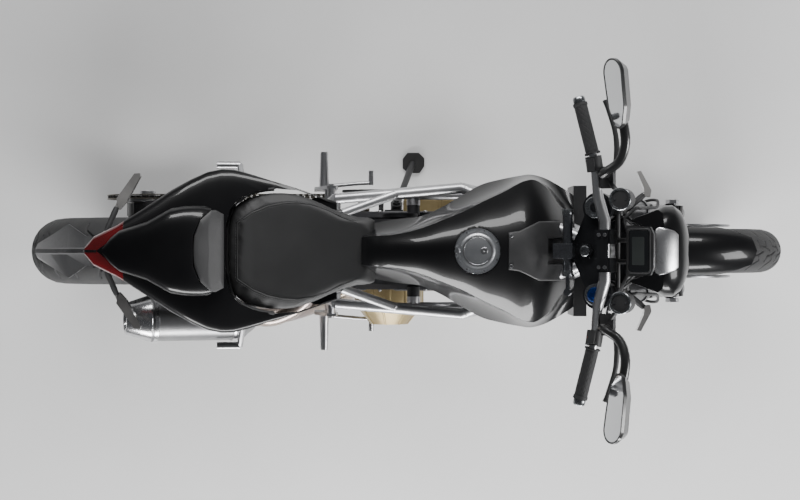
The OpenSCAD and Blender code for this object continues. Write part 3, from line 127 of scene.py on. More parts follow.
softening.links.new(s_angle.outputs["Unsigned Angle"], s_flat.inputs[0])
softening.links.new(s_flat.outputs[0], s_edge.inputs["Shade Smooth"])
softening.links.new(s_edge.outputs[0], s_out.inputs[0])


def dress(name, material):
    """A CAD node's finish: its triangles welded and smoothed, its sharp edges broken by a small round."""
    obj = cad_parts[name]
    obj.data.materials.clear()
    obj.data.materials.append(material)
    obj.data.polygons.foreach_set("material_index", np.zeros(len(obj.data.polygons), np.int32))
    obj.modifiers.new("weld", "NODES").node_group = softening
    b = obj.modifiers.new("edge", "BEVEL")
    b.width, b.segments, b.limit_method, b.angle_limit = edge_round, 2, "ANGLE", edge_angle
    b.harden_normals = True


frame_grey = coat(
    "frame_satin_grey", (0.50, 0.50, 0.51), (0.44, 0.44, 0.45), (0.30, 0.40), metal=0.85, grain=1600)
dress("frame", frame_grey)

# Frame welds: beads laid where the tubes meet, ground lightly and painted with the frame.
# Each is a ring round the end of a tube, set off from the joint by the radius of the tube that it meets.
# Places are in millimetres on the upright machine, x forward from the wheelbase's middle, y left and z up.
lean, lean_axis_z, park_x, park_z = math.radians(10.5), 1100.0, 10.0, 1.507
lean_c, lean_s = math.cos(lean), math.sin(lean)
half_wheelbase, front_axle_z, rake = 737.5, 299.5, math.radians(24)
stem_x = -27.9


def leaned(p):
    """Upright millimetres to parked metres: a turn about X by the lean, then a shift that centres the box."""
    x, y, z = np.moveaxis(np.asarray(p, float), -1, 0)
    parked = [x + park_x, y * lean_c + (z - lean_axis_z) * lean_s, z * lean_c - y * lean_s + park_z]
    return np.stack(parked, -1) / 1000


def forked(p):
    """Points along and across the fork legs from the axle, as upright millimetres: a turn by the rake."""
    x, y, z = np.moveaxis(np.asarray(p, float), -1, 0)
    c, s = math.cos(rake), math.sin(rake)
    return np.stack([half_wheelbase + x * c - z * s, y, front_axle_z + x * s + z * c], -1)


def unit(v):
    """Vectors divided by their own lengths."""
    v = np.asarray(v, float)
    return v / np.linalg.norm(v, axis=-1, keepdims=True)


def quads(n, m, wrap_u=False, wrap_v=False):
    """Corner numbers of the cells of an n by m grid, its last row or column joined to the first on a wrap."""
    k = np.arange(n * m).reshape(n, m)
    if wrap_u:
        k = np.vstack([k, k[:1]])
    if wrap_v:
        k = np.hstack([k, k[:, :1]])
    return np.stack([k[:-1, :-1], k[1:, :-1], k[1:, 1:], k[:-1, 1:]], -1).reshape(-1, 4)


def shell(p, wrap_u=False, wrap_v=True, caps=True):
    """Points p[i, j] as (points, faces): rings j along a line i, quads between them and a flat face on each
    end. Where the enclosed volume comes out negative the faces are turned round."""
    n, m = p.shape[:2]
    pts, q = p.reshape(-1, 3), quads(n, m, wrap_u, wrap_v)
    middle = pts.mean(0)
    faces = q.tolist()
    a, b, c, d = (pts[q[:, i]] - middle for i in range(4))
    volume = np.einsum("ij,ij->", a, np.cross(b, c)) + np.einsum("ij,ij->", a, np.cross(c, d))
    if caps and not wrap_u:
        faces += [list(range(m))[::-1], list(range((n - 1) * m, n * m))]
        for ring, turn in ((p[0] - middle, -1), (p[-1] - middle, 1)):
            volume += turn * np.einsum("j,ij->", ring.mean(0), np.cross(ring, np.roll(ring, -1, 0)))
    if volume < 0:
        faces = [f[::-1] for f in faces]
    return pts, faces


def build(name, shells, body, material, smooth=True):
    """One mesh object from a list of (points, faces), riding on a CAD body."""
    points, faces, start = [], [], 0
    for pts, fs in shells:
        points.append(pts)
        faces += [[i + start for i in f] for f in fs]
        start += len(pts)
    mesh = bpy.data.meshes.new(name)
    mesh.from_pydata(np.vstack(points).tolist(), [], faces)
    mesh.polygons.foreach_set("use_smooth", np.full(len(mesh.polygons), smooth))
    if smooth:
        mesh.set_sharp_from_angle(angle=math.radians(38))
    mesh.materials.append(material)
    obj = bpy.data.objects.new(name, mesh)
    bpy.context.scene.collection.objects.link(obj)
    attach(obj, body)
    return obj


def lathe(at, axis, profile, k):
    """Rings of k points round an axis through a point; the profile's rows are radius and height along it."""
    axis = unit(axis)
    side = unit(np.cross(axis, (1.0, 0, 0) if abs(axis[0]) < 0.8 else (0, 1.0, 0)))
    a = np.linspace(0, 2 * np.pi, k, endpoint=False)[:, None]
    ring = np.cos(a) * side + np.sin(a) * np.cross(axis, side)
    r, h = np.array(profile, float).T[:, :, None, None]
    return np.asarray(at, float) + r * ring + h * axis


head_top, head_low = forked((stem_x, 22, 652)), forked((stem_x, 22, 575))
rail_front, rail_rear = np.array((130.0, 162, 722)), np.array((-195.0, 136, 668))
knot_front, knot_rear = np.array((238.0, 148, 600)), np.array((6.0, 150, 548))
pivot_plate, seat_stay = np.array((-232.0, 122, 488)), np.array((-178.0, 96, 752))
head_rail = head_top + 0.45 * (rail_front - head_top)
rail_fore, rail_mid, rail_aft = (rail_front + share * (rail_rear - rail_front) for share in (0.12, 0.5, 0.72))
# Columns: joint, other end, tube radius, distance of the bead from the joint
weld_rows = [
    (rail_front, head_top, 14, 13), (rail_front, knot_front, 11.5, 15), (knot_front, rail_front, 11.5, 16),
    (knot_front, head_low, 13.6, 16), (knot_front, head_rail, 11.3, 17), (head_rail, knot_front, 11.3, 15),
    (knot_rear, rail_fore, 11.4, 15), (rail_fore, knot_rear, 11.4, 15), (knot_rear, rail_aft, 11.2, 15),
    (rail_aft, knot_rear, 11.2, 15), (rail_rear, pivot_plate, 13.7, 14), (rail_mid, seat_stay, 11.3, 15)]
# Columns: height of the bead over the tube, distance along the tube
bead_profile = np.array([(-1, -2.6), (0.6, -2.2), (1.3, 0), (0.6, 2.2), (-1, 2.6)])
beads = []
for side in (1, -1):
    for joint, end, r, gap in weld_rows:
        d = unit(end - joint)
        bead = lathe(joint + gap * d, d, bead_profile + (r, 0), 24)
        beads.append(shell(leaned(bead * (1, side, 1)), wrap_u=True))
build("frame_welds", beads, "chassis", frame_grey)

# Subframe: thinner steel tubes that carry the seat and the tail.
# Welded as one piece, painted satin black and bolted to the rear of the trellis.
black_paint = coat(
    "black_satin_paint", (0.018, 0.018, 0.019), (0.025, 0.025, 0.026), (0.32, 0.44), grain=1400)
dress("subframe", black_paint)

# Engine: a crankcase split down its middle and two finned cylinders, sand-cast in aluminium.
# Painted dark grey; each side has a flange with a rim and a socket screw at every corner.
cast_grey = coat(
    "dark_cast_paint", (0.034, 0.034, 0.037), (0.046, 0.046, 0.049), (0.40, 0.54), metal=0.35, patch=30,
    grain=700, relief=0.5, depth=0.0006)
dress("crankcase", cast_grey)
dress("cylinders", cast_grey)
# Columns: x, z of the flange's corners
case_line = np.array([
    (-178, 432), (-186, 336), (-142, 272), (-104, 240), (-20, 234), (64, 232), (130, 260), (154, 332),
    (147, 414), (110, 458), (38, 491), (-84, 487)], float)
case_screw_y, case_rim_y, case_rim_r = 104.2, 104.6, 3.0
across, upward, forward = (0.0, 1.0, 0.0), (0.0, 0.0, 1.0), (1.0, 0.0, 0.0)


def turned(at, axis, profile, k, ring=False):
    """A turned piece in its parked place: a lathed profile, closed on itself where it is a ring."""
    return shell(leaned(lathe(at, axis, profile, k)), wrap_u=ring)


def bolt(at, axis, r, h):
    """A socket screw: a round head with a broken edge and a recess, as shares of its radius and height."""
    profile = [(r, -1), (r, 0.75 * h), (0.88 * r, h), (0.55 * r, h), (0.5 * r, 0.4 * h), (0.05 * r, 0.35 * h)]
    return turned(at, axis, profile, 12)


def tube(path, r, k, ref):
    """A round tube through points: rings square to the path, turned by a fixed reference direction."""
    path = np.asarray(path, float)
    d = unit(np.gradient(path, axis=0))
    side = unit(np.cross(d, np.broadcast_to(ref, d.shape)))
    up = np.cross(d, side)
    a = np.linspace(0, 2 * np.pi, k, endpoint=False)[None, :, None]
    r = np.asarray(r, float).reshape(-1, 1, 1)
    return path[:, None] + r * (np.cos(a) * side[:, None] + np.sin(a) * up[:, None])


def bent(path, r, k, ref=upward):
    """A bent rod in its parked place: a tube of one radius, or of one radius for each point of its path."""
    return shell(leaned(tube(path, r, k, ref)))


zinc = coat("zinc_screws", (0.46, 0.46, 0.47), (0.40, 0.40, 0.41), (0.24, 0.34), metal=1.0, patch=60)
case_screws = [
    bolt((x, side * case_screw_y, z), (0, side, 0), 5.5, 5) for side in (1, -1) for x, z in case_line]
build("case_screws", case_screws, "chassis", zinc)
case_rims = []
for side in (1, -1):
    for start, end in zip(case_line, np.roll(case_line, -1, 0)):
        x, z = np.linspace(start, end, 6).T
        case_rims.append(bent(np.stack([x, np.full(6, side * case_rim_y), z], -1), case_rim_r, 8, across))
build("case_flange", case_rims, "chassis", cast_grey)

# Engine covers: die-cast clutch and alternator covers in a bronze paint, screwed down round their rims.
# The clutch cover on the right has cast ribs up its cone.
bronze_cast = coat(
    "bronze_cover_paint", (0.30, 0.235, 0.115), (0.25, 0.19, 0.095), (0.32, 0.44), metal=0.55, patch=26,
    grain=900, relief=0.35, depth=0.0005)
dress("engine_covers", bronze_cast)
clutch_x, clutch_z = -60, 400
# Columns: x, y, z of the rim's middle, radius of the screw circle, screws, side
cover_rows = [(clutch_x, -159.4, clutch_z, 87, 12, -1), (64, 142.4, 375, 81, 9, 1)]
cover_screws = []
for x, y, z, r, count, way in cover_rows:
    for turn in np.arange(count) * 2 * np.pi / count:
        cover_screws.append(bolt((x + r * math.cos(turn), y, z + r * math.sin(turn)), (0, way, 0), 5, 4))
build("cover_screws", cover_screws, "chassis", zinc)
rib_foot_r, rib_foot_y, rib_tip_r, rib_tip_y, rib_count, rib_start = 84, -157, 50, -201, 8, 0.2
cover_ribs = []
for turn in np.arange(rib_count) * 2 * np.pi / rib_count + rib_start:
    foot, tip = (
        np.array((clutch_x + r * math.cos(turn), y, clutch_z + r * math.sin(turn)))
        for r, y in ((rib_foot_r, rib_foot_y), (rib_tip_r, rib_tip_y)))
    cover_ribs.append(bent(np.linspace(foot, tip, 8), np.linspace(3.6, 2.6, 8), 8, (0.3, 0.1, 0.9)))
build("cover_ribs", cover_ribs, "chassis", bronze_cast)

# Cooling: a radiator with its oil cooler below, aluminium fins between painted tanks.
# The fins are a folded strip set into the front of the core, pressed in at every fifth row.
dress("radiator", black_paint)
fold_count, fin_rows, fold_depth, row_depth = 280, 40, 1.4, 1.5
fin_face_x, fin_half, fin_low, fin_high = 443.5, 139, 571, 701


def panel(x, y, z):
    """An open surface in its parked place from three grids of upright millimetres."""
    return shell(leaned(np.stack([x, y, z], -1)), wrap_v=False, caps=False)


fin_y, fin_z = np.meshgrid(
    np.linspace(-fin_half, fin_half, fold_count), np.linspace(fin_low, fin_high, fin_rows), indexing="ij")
fin_x = fin_face_x + fold_depth * np.where(np.arange(fold_count) % 2, 1, -1)[:, None]
fin_x = fin_x - row_depth * (np.arange(fin_rows) % 5 == 0)
fin_metal = coat("dull_fins", (0.12, 0.12, 0.125), (0.09, 0.09, 0.095), (0.4, 0.5), metal=0.8)
build("core_fins", [panel(fin_x, fin_y, fin_z)], "chassis", fin_metal, smooth=False)

# Airbox and sprocket cover: moulded in black plastic with a fine grain.
# The airbox sits under the tank; the cover is screwed over the front sprocket.
moulded_black = coat(
    "moulded_black", (0.015, 0.015, 0.016), (0.022, 0.022, 0.023), (0.44, 0.58), grain=1500, relief=0.3,
    depth=0.0004)
dress("airbox", moulded_black)
dress("sprocket_cover", moulded_black)

# Exhaust: stainless pipes tinted by heat, run into two stacked mufflers on the right.
# The cans are dark brushed steel with bright end cones and strap clamps.
heat_steel = coat(
    "heat_tinted_steel", (0.42, 0.36, 0.29), (0.30, 0.25, 0.24), (0.22, 0.36), metal=1.0, patch=9)
dress("exhaust_pipes", heat_steel)
can_steel = coat(
    "dark_brushed_cans", (0.24, 0.24, 0.245), (0.19, 0.19, 0.195), (0.28, 0.40), metal=1.0, patch=14)
dress("mufflers", can_steel)
bright_steel = coat(
    "bright_steel", (0.60, 0.60, 0.61), (0.52, 0.52, 0.53), (0.16, 0.28), metal=1.0, patch=40)
can_slope = math.radians(17)
can_axis = np.array((-math.cos(can_slope), 0, math.sin(can_slope)))
# Columns: radius, distance along the can
cone_profile = [
    (60.6, 269), (61, 270), (41, 331), (39, 333), (31, 333), (29.6, 330), (29.6, 300), (31, 300), (40, 329),
    (59, 270)]
strap_profile = np.array([(61, 0), (63.2, 1), (63.2, 11), (61, 12), (58, 6)])
muffler_trims = []
for can_front in [(-428, -176, 563), (-428, -176, 427)]:
    muffler_trims.append(turned(can_front, can_axis, cone_profile, 64, ring=True))
    for strap_at in (41, 251):
        muffler_trims.append(turned(can_front, can_axis, strap_profile + (0, strap_at), 64, ring=True))
build("muffler_trim", muffler_trims, "chassis", bright_steel)

# Rear suspension: a tubular steel swingarm on the frame's pivot, painted black, and one shock absorber.
# The shock has a dark anodised body and a red coil spring; a moulded hugger covers the tyre's front.
dress("swingarm", black_paint)
anodised = coat(
    "dark_anodised", (0.030, 0.031, 0.034), (0.040, 0.041, 0.045), (0.26, 0.36), metal=0.8, grain=1800)
dress("shock", anodised)
dress("shock_spring", coat("red_spring_paint", (0.35, 0.02, 0.02), (0.28, 0.015, 0.015), (0.3, 0.4)))
dress("rear_hugger", moulded_black)

# Final drive: a roller chain of oiled steel plates from the engine to a large rear sprocket.
# The sprocket is cut from hard steel and bolted to the rear hub, which turns on a ground axle.
chain_steel = coat("oiled_chain", (0.22, 0.20, 0.17), (0.15, 0.14, 0.12), (0.26, 0.42), metal=1.0, patch=220)
dress("chain", chain_steel)
steel = coat("ground_steel", (0.40, 0.40, 0.41), (0.37, 0.37, 0.38), (0.28, 0.36), metal=1.0, patch=40)
sprocket_steel = coat(
    "hard_sprocket", (0.14, 0.135, 0.13), (0.11, 0.107, 0.104), (0.32, 0.42), metal=1.0, patch=60)
dress("rear_sprocket", sprocket_steel)
dress("rear_axle_shaft", steel)

# Wheels and brakes: cast five-spoke wheels in black, with drilled steel discs on their hubs.
# The calipers are dark anodised blocks, bolted to the fork legs and the swingarm.
wheel_black = coat("wheel_black", (0.014, 0.014, 0.015), (0.020, 0.020, 0.021), (0.28, 0.4), grain=1600)
for part in ("front_wheel", "rear_wheel"):
    dress(part, wheel_black)
for part in ("front_discs", "rear_disc", "front_axle_shaft"):
    dress(part, steel)
for part in ("front_calipers", "rear_caliper"):
    dress(part, anodised)
caliper_y = 95.8
caliper_screws = [
    bolt(forked((x, side * caliper_y, z)), (0, side, 0), 6, 5)
    for side in (1, -1) for x in (-116, -82) for z in (52, 136)]
build("caliper_screws", caliper_screws, "front_end", zinc)

# Tyres: radial road tyres of black rubber, moulded with zigzag rain grooves that run out to the shoulders.
# Each keeps the section of its solid, with the tread cut into the crown and fine rings on the side walls.
tyre_rubber = coat(
    "tyre_rubber", (0.018, 0.018, 0.019), (0.026, 0.026, 0.026), (0.62, 0.76), patch=30, grain=1200,
    relief=0.4, depth=0.0005)
bead_r, flange_r, tyre_skin = 214.6, 224.0, 0.8
groove_half, groove_depth, tread_share = 2.7, 4.2, 0.62
ring_shares, ring_half, ring_high = (0.80, 0.93), 0.012, 0.7
tyre_around, tyre_across, rear_axle_z = 1008, 86, 320.0


def tread_cut(s, w, pitch, cuts):
    """Groove depth, 0 to 1, at arc s round the tyre and arc w across it: the distance to the nearest of a few
    straight cuts, repeated at a pitch on both sides, the right side half a pitch on, with sloping walls."""
    along_tread = np.mod(s + np.where(w < 0, pitch / 2, 0.0), pitch)
    off_middle = np.abs(w)
    near = np.full(along_tread.shape, 1e9)
    for s0, w0, s1, w1 in cuts:
        run, rise = s1 - s0, w1 - w0
        for turn in (-pitch, 0.0, pitch):
            u, v = along_tread - s0 - turn, off_middle - w0
            t = np.clip((u * run + v * rise) / (run * run + rise * rise), 0, 1)
            near = np.minimum(near, np.hypot(u - t * run, v - t * rise))
    return np.clip((groove_half - near) / (0.45 * groove_half), 0, 1)


def tyre(name, axle_x, axle_z, radius, crown, bead_half, repeats, cuts, body):
    """A tyre as a closed grid: its section is an arc of the crown radius between the rim flanges, turned
    round the axle, with the groove depth taken off along the section's own normal."""
    limit = math.acos((flange_r - radius + crown) / crown)
    phi = np.linspace(-limit, limit, tyre_across)
    turn = np.linspace(0, 2 * np.pi, tyre_around, endpoint=False)[:, None]
    arc = np.broadcast_to(phi * crown, (tyre_around, tyre_across))
    cut = tread_cut(turn * radius, arc, 2 * np.pi * radius / repeats, cuts)
    share = abs(phi) / limit
    rings = sum(ring_high * (np.abs(share - at) < ring_half) for at in ring_shares)
    r_off = crown - groove_depth * cut * (share < tread_share) + rings - tyre_skin
    inner_y = np.array([bead_half - 1.0, 0.6 * bead_half, -0.6 * bead_half, 1.0 - bead_half])
    r = np.hstack([radius - crown + r_off * np.cos(phi), np.full((tyre_around, 4), bead_r)])
    y = np.hstack([r_off * np.sin(phi), np.broadcast_to(inner_y, (tyre_around, 4))])
    p = np.stack([axle_x + r * np.cos(turn), y, axle_z + r * np.sin(turn)], -1)
    obj = build(name + "_tread", [shell(leaned(p), wrap_u=True)], body, tyre_rubber)
    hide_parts(name)


# Columns: start round and across the tyre, end round and across it
front_cuts = [
    (0, 2, 20, 10), (20, 10, 14, 27), (14, 27, 38, 42), (38, 42, 44, 62), (20, 10, 46, 14), (46, 14, 52, 30)]
rear_cuts = [
    (0, 4, 26, 14), (26, 14, 18, 36), (18, 36, 48, 58), (48, 58, 54, 84), (26, 14, 56, 22), (56, 22, 62, 44)]
tyre("front_tyre", half_wheelbase, front_axle_z, 300, 60, 48, 28, front_cuts, "front_wheel_set")
tyre("rear_tyre", -half_wheelbase, rear_axle_z, 320, 90, 72, 24, rear_cuts, "rear_wheel_set")

# Front fork: upside-down legs with black outer tubes, hard-coated sliders and forged clamps round them.
# The leg caps are turned, the right one with a blue adjuster; the left one stays low, under the damper.
for part in ("fork_tubes", "triple_clamps"):
    dress(part, anodised)
slider_coat = coat("dark_slider_coat", (0.05, 0.05, 0.052), (0.06, 0.058, 0.058), (0.12, 0.2), metal=1.0)
dress("fork_sliders", slider_coat)
fork_up = forked((0, 0, 1)) - forked((0, 0, 0))
leg_y, leg_top, stem_top = 106, 724, 718
cap_grey = coat("cap_grey", (0.30, 0.31, 0.32), (0.25, 0.26, 0.27), (0.22, 0.32), metal=1.0, patch=50)
cap_profile = [(26, -0.5), (26.5, 2), (25, 4), (19.5, 4), (19, 2.5), (1, 2.5)]
caps = [turned(forked((0, y, leg_top)), fork_up, cap_profile, 40) for y in (-leg_y, leg_y)]
build("fork_caps", caps, "front_end", cap_grey)
blue_anodised = coat(
    "blue_anodised", (0.02, 0.07, 0.30), (0.015, 0.05, 0.22), (0.20, 0.30), metal=0.9, patch=60)
high_knob = [(18.2, 2), (18.2, 8), (16, 10.5), (9, 10.5), (8, 8), (1, 8)]
low_knob = [(12, 1), (12, 3.4), (10.5, 3.9), (5, 3.9), (4.5, 3), (0.5, 3)]
for name, y, knob, finish in [
        ("blue_adjuster", -leg_y, high_knob, blue_anodised), ("dark_adjuster", leg_y, low_knob, anodised)]:
    build(name, [turned(forked((0, y, leg_top)), fork_up, knob, 24)], "front_end", finish)
clamp_screws = [bolt(forked((x, y, 766)), fork_up, 4.6, 5) for x in (22.5, 37.5) for y in (-39, 39)]
clamp_screws += [
    bolt(forked((-8, side * 140, z)), (0, side, 0), 4.6, 3) for side in (-1, 1) for z in (694, 512, 532)]
build("clamp_screws", clamp_screws, "front_end", zinc)
nut_profile = [(13, -1), (13, 3), (11.5, 4.5), (7, 4.5), (6.5, 1), (0.5, 1)]
stem_nut = turned(forked((stem_x, 0, stem_top)), fork_up, nut_profile, 32)
build("stem_nut", [stem_nut], "front_end", cap_grey)

# Front mudguard: a short moulded blade, screwed to lugs on the sliders.
# Lacquered gloss black like the tank: a dark, barely reflecting base under a smooth clear coat.
gloss_black = coat(
    "gloss_black_lacquer", (0.0035, 0.0035, 0.004), (0.006, 0.006, 0.0065), (0.28, 0.34), patch=6, grain=2400,
    relief=0.02, Specular_IOR_Level=0.15, Coat_Weight=0.6, Coat_Roughness=0.04, Coat_IOR=1.32)
dress("front_fender", gloss_black)

# Fuel tank: two pressed steel halves seam-welded along the skirt, with a hard crease from seat to shoulder.
# Lacquered gloss black; the filler pocket is let into the crown, the front is hollowed for the ignition lock.
# Columns: x, crown z, crease y, crease z, edge y, edge z
tank_rows = np.array([
    [-126, 842, 34, 832, 60, 802], [-112, 858, 36, 846, 66, 797], [-80, 880, 38, 864, 73, 790],
    [-35, 902, 42, 884, 81, 784], [22, 924, 56, 896, 88, 777], [70, 937, 74, 900, 108, 769],
    [126, 945, 97, 894, 141, 757], [179, 946, 124, 882, 170, 742], [230, 942, 148, 864, 184, 727],
    [280, 933, 174, 846, 194, 711], [302, 924, 178, 836, 197, 706], [338, 902, 158, 824, 189, 713],
    [376, 862, 112, 804, 168, 730], [402, 824, 92, 782, 150, 744], [412, 800, 84, 770, 142, 752]], float)
tank_back, tank_front, crown_power, tank_wall = -126, 412, 1.9, 0.002
cap_x, pocket_r, pocket_z, pocket_lip, pocket_reach, tank_top_z = 159.0, 56.0, 917.0, 0.2, 3.0, 905
lock_well_x, lock_well_half, lock_well_depth, lock_well_low = 333, 33, 34.0, 780


def eased(table, x):
    """A table's columns as smooth curves of its first one: cubic pieces with slopes from their neighbours."""
    t, y = table[:, 0], table[:, 1:]
    slope = np.gradient(y, t, axis=0)
    i = np.clip(np.searchsorted(t, x, side="right") - 1, 0, len(t) - 2)
    h = (t[i + 1] - t[i])[:, None]
    s = (x - t[i])[:, None] / h
    rise, run = s * s * (3 - 2 * s), s * (1 - s)
    return y[i] * (1 - rise) + y[i + 1] * rise + h * run * ((1 - s) * slope[i] - s * slope[i + 1])


def tank_crown(x, y):
    """Height of the tank's top: from crown down to crease by a power of the share of the crease's width."""
    crown, cy, cz = eased(tank_rows, x).T[:3]
    return cz + (crown - cz) * (1 - np.clip(np.abs(y) / cy, 0, 1) ** crown_power)


def walled(obj, thickness):
    """An open surface given a wall on its inner side."""
    wall = obj.modifiers.new("wall", "SOLIDIFY")
    wall.thickness, wall.offset = thickness, -1.0


section_x = np.hstack([[tank_back - 2.0], np.linspace(tank_back, tank_front, 250), [tank_front + 2.0]])
sections = eased(tank_rows, np.clip(section_x, tank_back, tank_front))
crown_z, crease_y, crease_z, edge_y, edge_z = sections.T[:, :, None]
top_s = np.hstack([np.linspace(0, 0.97, 34), [0.99, 1.0]])
side_t = np.hstack([[0.012, 0.03], np.linspace(0.07, 1, 20)])
half_y = np.hstack([
    crease_y * top_s, crease_y + (edge_y - crease_y) * (0.3 * side_t + 0.7 * side_t * side_t),
    edge_y - 3, edge_y - 9])
half_z = np.hstack([
    crease_z + (crown_z - crease_z) * (1 - top_s ** crown_power), crease_z + (edge_z - crease_z) * side_t,
    edge_z - 4, edge_z - 5])
tank_y = np.hstack([half_y[:, ::-1], -half_y[:, 1:]])
tank_z = np.hstack([half_z[:, ::-1], half_z[:, 1:]])
tank_x = np.broadcast_to(section_x[:, None], tank_y.shape)
for end in (0, -1):
    for edge in (tank_y, tank_z):
        edge[end] = edge[end].mean() + 0.06 * (edge[end] - edge[end].mean())
off = np.hypot(tank_x - cap_x, tank_y)
top = tank_z > tank_top_z
near = top & (np.abs(off - pocket_r) < pocket_reach)
lip_r = pocket_r + np.where(off < pocket_r, -pocket_lip, pocket_lip)
pull = np.where(near, lip_r / np.maximum(off, 1), 1.0)
tank_x = cap_x + (tank_x - cap_x) * pull
tank_y = tank_y * pull
tank_z = np.where(top & (off < pocket_r), pocket_z, tank_z)
well = (tank_x > lock_well_x) & (np.abs(tank_y) < lock_well_half) & (tank_z > lock_well_low)
tank_z = tank_z - np.where(well, lock_well_depth, 0.0)
tank_skin = build("tank_skin", [panel(tank_x, tank_y, tank_z)], "chassis", gloss_black)
walled(tank_skin, tank_wall)
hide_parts("fuel_tank")

# Tank cover: a grained moulded panel clipped over the front of the tank, with two screws at its rear corners.
# Its middle is cut out round the ignition lock, a turned barrel with a key slot.
trim_grey = coat(
    "grained_dark_trim", (0.020, 0.020, 0.021), (0.028, 0.028, 0.029), (0.42, 0.56), grain=1300, relief=0.4,
    depth=0.0004)
cover_back, cover_front, cover_rise, panel_wall = 234, 404, 2.6, 0.0015
panel_screw_x, panel_screw_y = 241.0, 37.0


def rolled_edge(x, v, low, high, reach, share, drop):
    """How far a panel's edge is rolled down: the square of how near the closest edge lies, within a share."""
    rim = np.minimum(1 - np.abs(v), np.minimum(x - low, high - x) / reach)
    return drop * np.clip(1 - rim / share, 0, 1) ** 2


cover_x, v = np.meshgrid(np.linspace(cover_back, cover_front, 86), np.linspace(-1, 1, 77), indexing="ij")
cover_y = v * np.interp(cover_x, [cover_back, 262, 312, cover_front], [46, 50, 74, 76])
cover_z = tank_crown(cover_x.ravel(), cover_y.ravel()).reshape(cover_x.shape) + cover_rise
cover_z -= rolled_edge(cover_x, v, cover_back, cover_front, 60, 0.05, 3.6)
well = (cover_x > lock_well_x + 1) & (np.abs(cover_y) < lock_well_half - 1)
cover_z -= np.where(well, lock_well_depth, 0.0)
tank_panel = build("tank_panel", [panel(cover_x, cover_y, cover_z)], "chassis", trim_grey)
walled(tank_panel, panel_wall)
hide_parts("tank_cover")
panel_screws = []
for y in (-panel_screw_y, panel_screw_y):
    z = tank_crown(np.array([panel_screw_x]), np.array([y]))[0] + 2.2
    panel_screws.append(bolt((panel_screw_x, y, z), (-0.1, y / 400, 1), 5, 2.6))
build("panel_screws", panel_screws, "chassis", zinc)
lock_axis = (0.32, 0, 1)
barrel_profile = [(19, 0), (19, 22), (17, 25), (13, 25), (12, 21), (1, 21)]
key_slot = lathe((378, 0, 848), lock_axis, [(7, 0), (7, 2.2), (0.5, 2.4)], 4) * np.array([1, 0.28, 1])
lock_shells = [turned((372, 0, 827), lock_axis, barrel_profile, 32), shell(leaned(key_slot))]
build("ignition_lock", lock_shells, "chassis", zinc)

# Filler: a machined aluminium ring screwed to the tank's flange by six small screws.
# The hinged lid in it has a raised ring round its face and a round lock towards the front.
machined = coat(
    "machined_aluminium", (0.66, 0.67, 0.69), (0.60, 0.61, 0.63), (0.26, 0.36), metal=1.0, patch=60)
dress("cap_ring", machined)
dress("fuel_cap", machined)
lid_z, ring_z, ring_screw_r = 949.4, 936.4, 51.8
lid_ring = [(37.5, -0.4), (37.5, 0.6), (36, 1.2), (33.5, 1.2), (33, 0.6), (33, -0.4)]
lid_lock = [(9, -0.4), (9, 1.0), (8, 1.6), (2, 1.6), (1, 0.9)]
lid_shells = [
    turned((cap_x, 0, lid_z), upward, lid_ring, 64, ring=True),
    turned((cap_x + 16, 0, lid_z), upward, lid_lock, 24)]
build("lid_trim", lid_shells, "cap_lid", zinc)
ring_screws = [
    bolt((cap_x + ring_screw_r * math.cos(a), ring_screw_r * math.sin(a), ring_z), upward, 2.6, 2.0)
    for a in np.radians([-120, -72, -24, 24, 72, 120])]
build("ring_screws", ring_screws, "chassis", zinc)

# Handlebar: a tapered aluminium tube, bent and blasted, held in two risers on the top clamp.
# A turned plug closes each end beyond the grip.
bar_metal = coat(
    "blasted_aluminium", (0.60, 0.60, 0.61), (0.53, 0.53, 0.54), (0.26, 0.36), metal=1.0, grain=2600)
dress("handlebar", bar_metal)
grip_ends = np.array([(9.0, 228, 769), (-25.0, 360, 770)])
plug_profile = [(9, 128), (14, 131.5), (15, 134), (15, 143), (12.5, 147), (5, 147.5), (4, 145), (0.5, 145)]
bar_plugs = []
for side in (1, -1):
    inner, outer = forked(grip_ends * (1, side, 1))
    bar_plugs.append(turned(inner, outer - inner, plug_profile, 32))
build("bar_plugs", bar_plugs, "front_end", cap_grey)

# Grips: soft rubber sleeves pushed over the bar's ends and glued.
# Moulded with crossing diagonal grooves between a wide inner and a narrow outer collar.
rubber = coat(
    "black_rubber", (0.012, 0.012, 0.013), (0.018, 0.018, 0.019), (0.56, 0.70), grain=1500, relief=0.3)
dress("grips", rubber)
grip_r, grip_groove, groove_starts, groove_lead = 16.2, 1.3, 8, 15
grip_h, grip_points = np.linspace(4.8, 131.2, 150), 72


def to_groove(way):
    """Distance from the nearest groove that winds one way round the grip, as a share of their spacing."""
    u = np.arange(grip_points) / grip_points
    return np.abs(np.mod(groove_starts * u + way * grip_h[:, None] / groove_lead, 1) - 0.5)


cut = np.clip(1 - np.minimum(to_groove(1), to_groove(-1)) / 0.09, 0, 1)
cut = cut * ((grip_h > 16) & (grip_h < 118))[:, None]
collar = 3 * (grip_h < 9) + 1.5 * (grip_h > 124)
sleeve_r = (grip_r + collar[:, None] - grip_groove * cut)[..., None]
grip_shells = []
for side in (1, -1):
    inner, outer = forked(grip_ends * (1, side, 1))
    middle = inner + grip_h[:, None, None] * unit(outer - inner)
    ring = lathe(inner, outer - inner, np.stack([np.ones_like(grip_h), grip_h], -1), grip_points)
    grip_shells.append(shell(leaned(middle + sleeve_r * (ring - middle))))
grip_sleeves = build("grip_sleeves", grip_shells, "front_end", rubber)
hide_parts("grips")

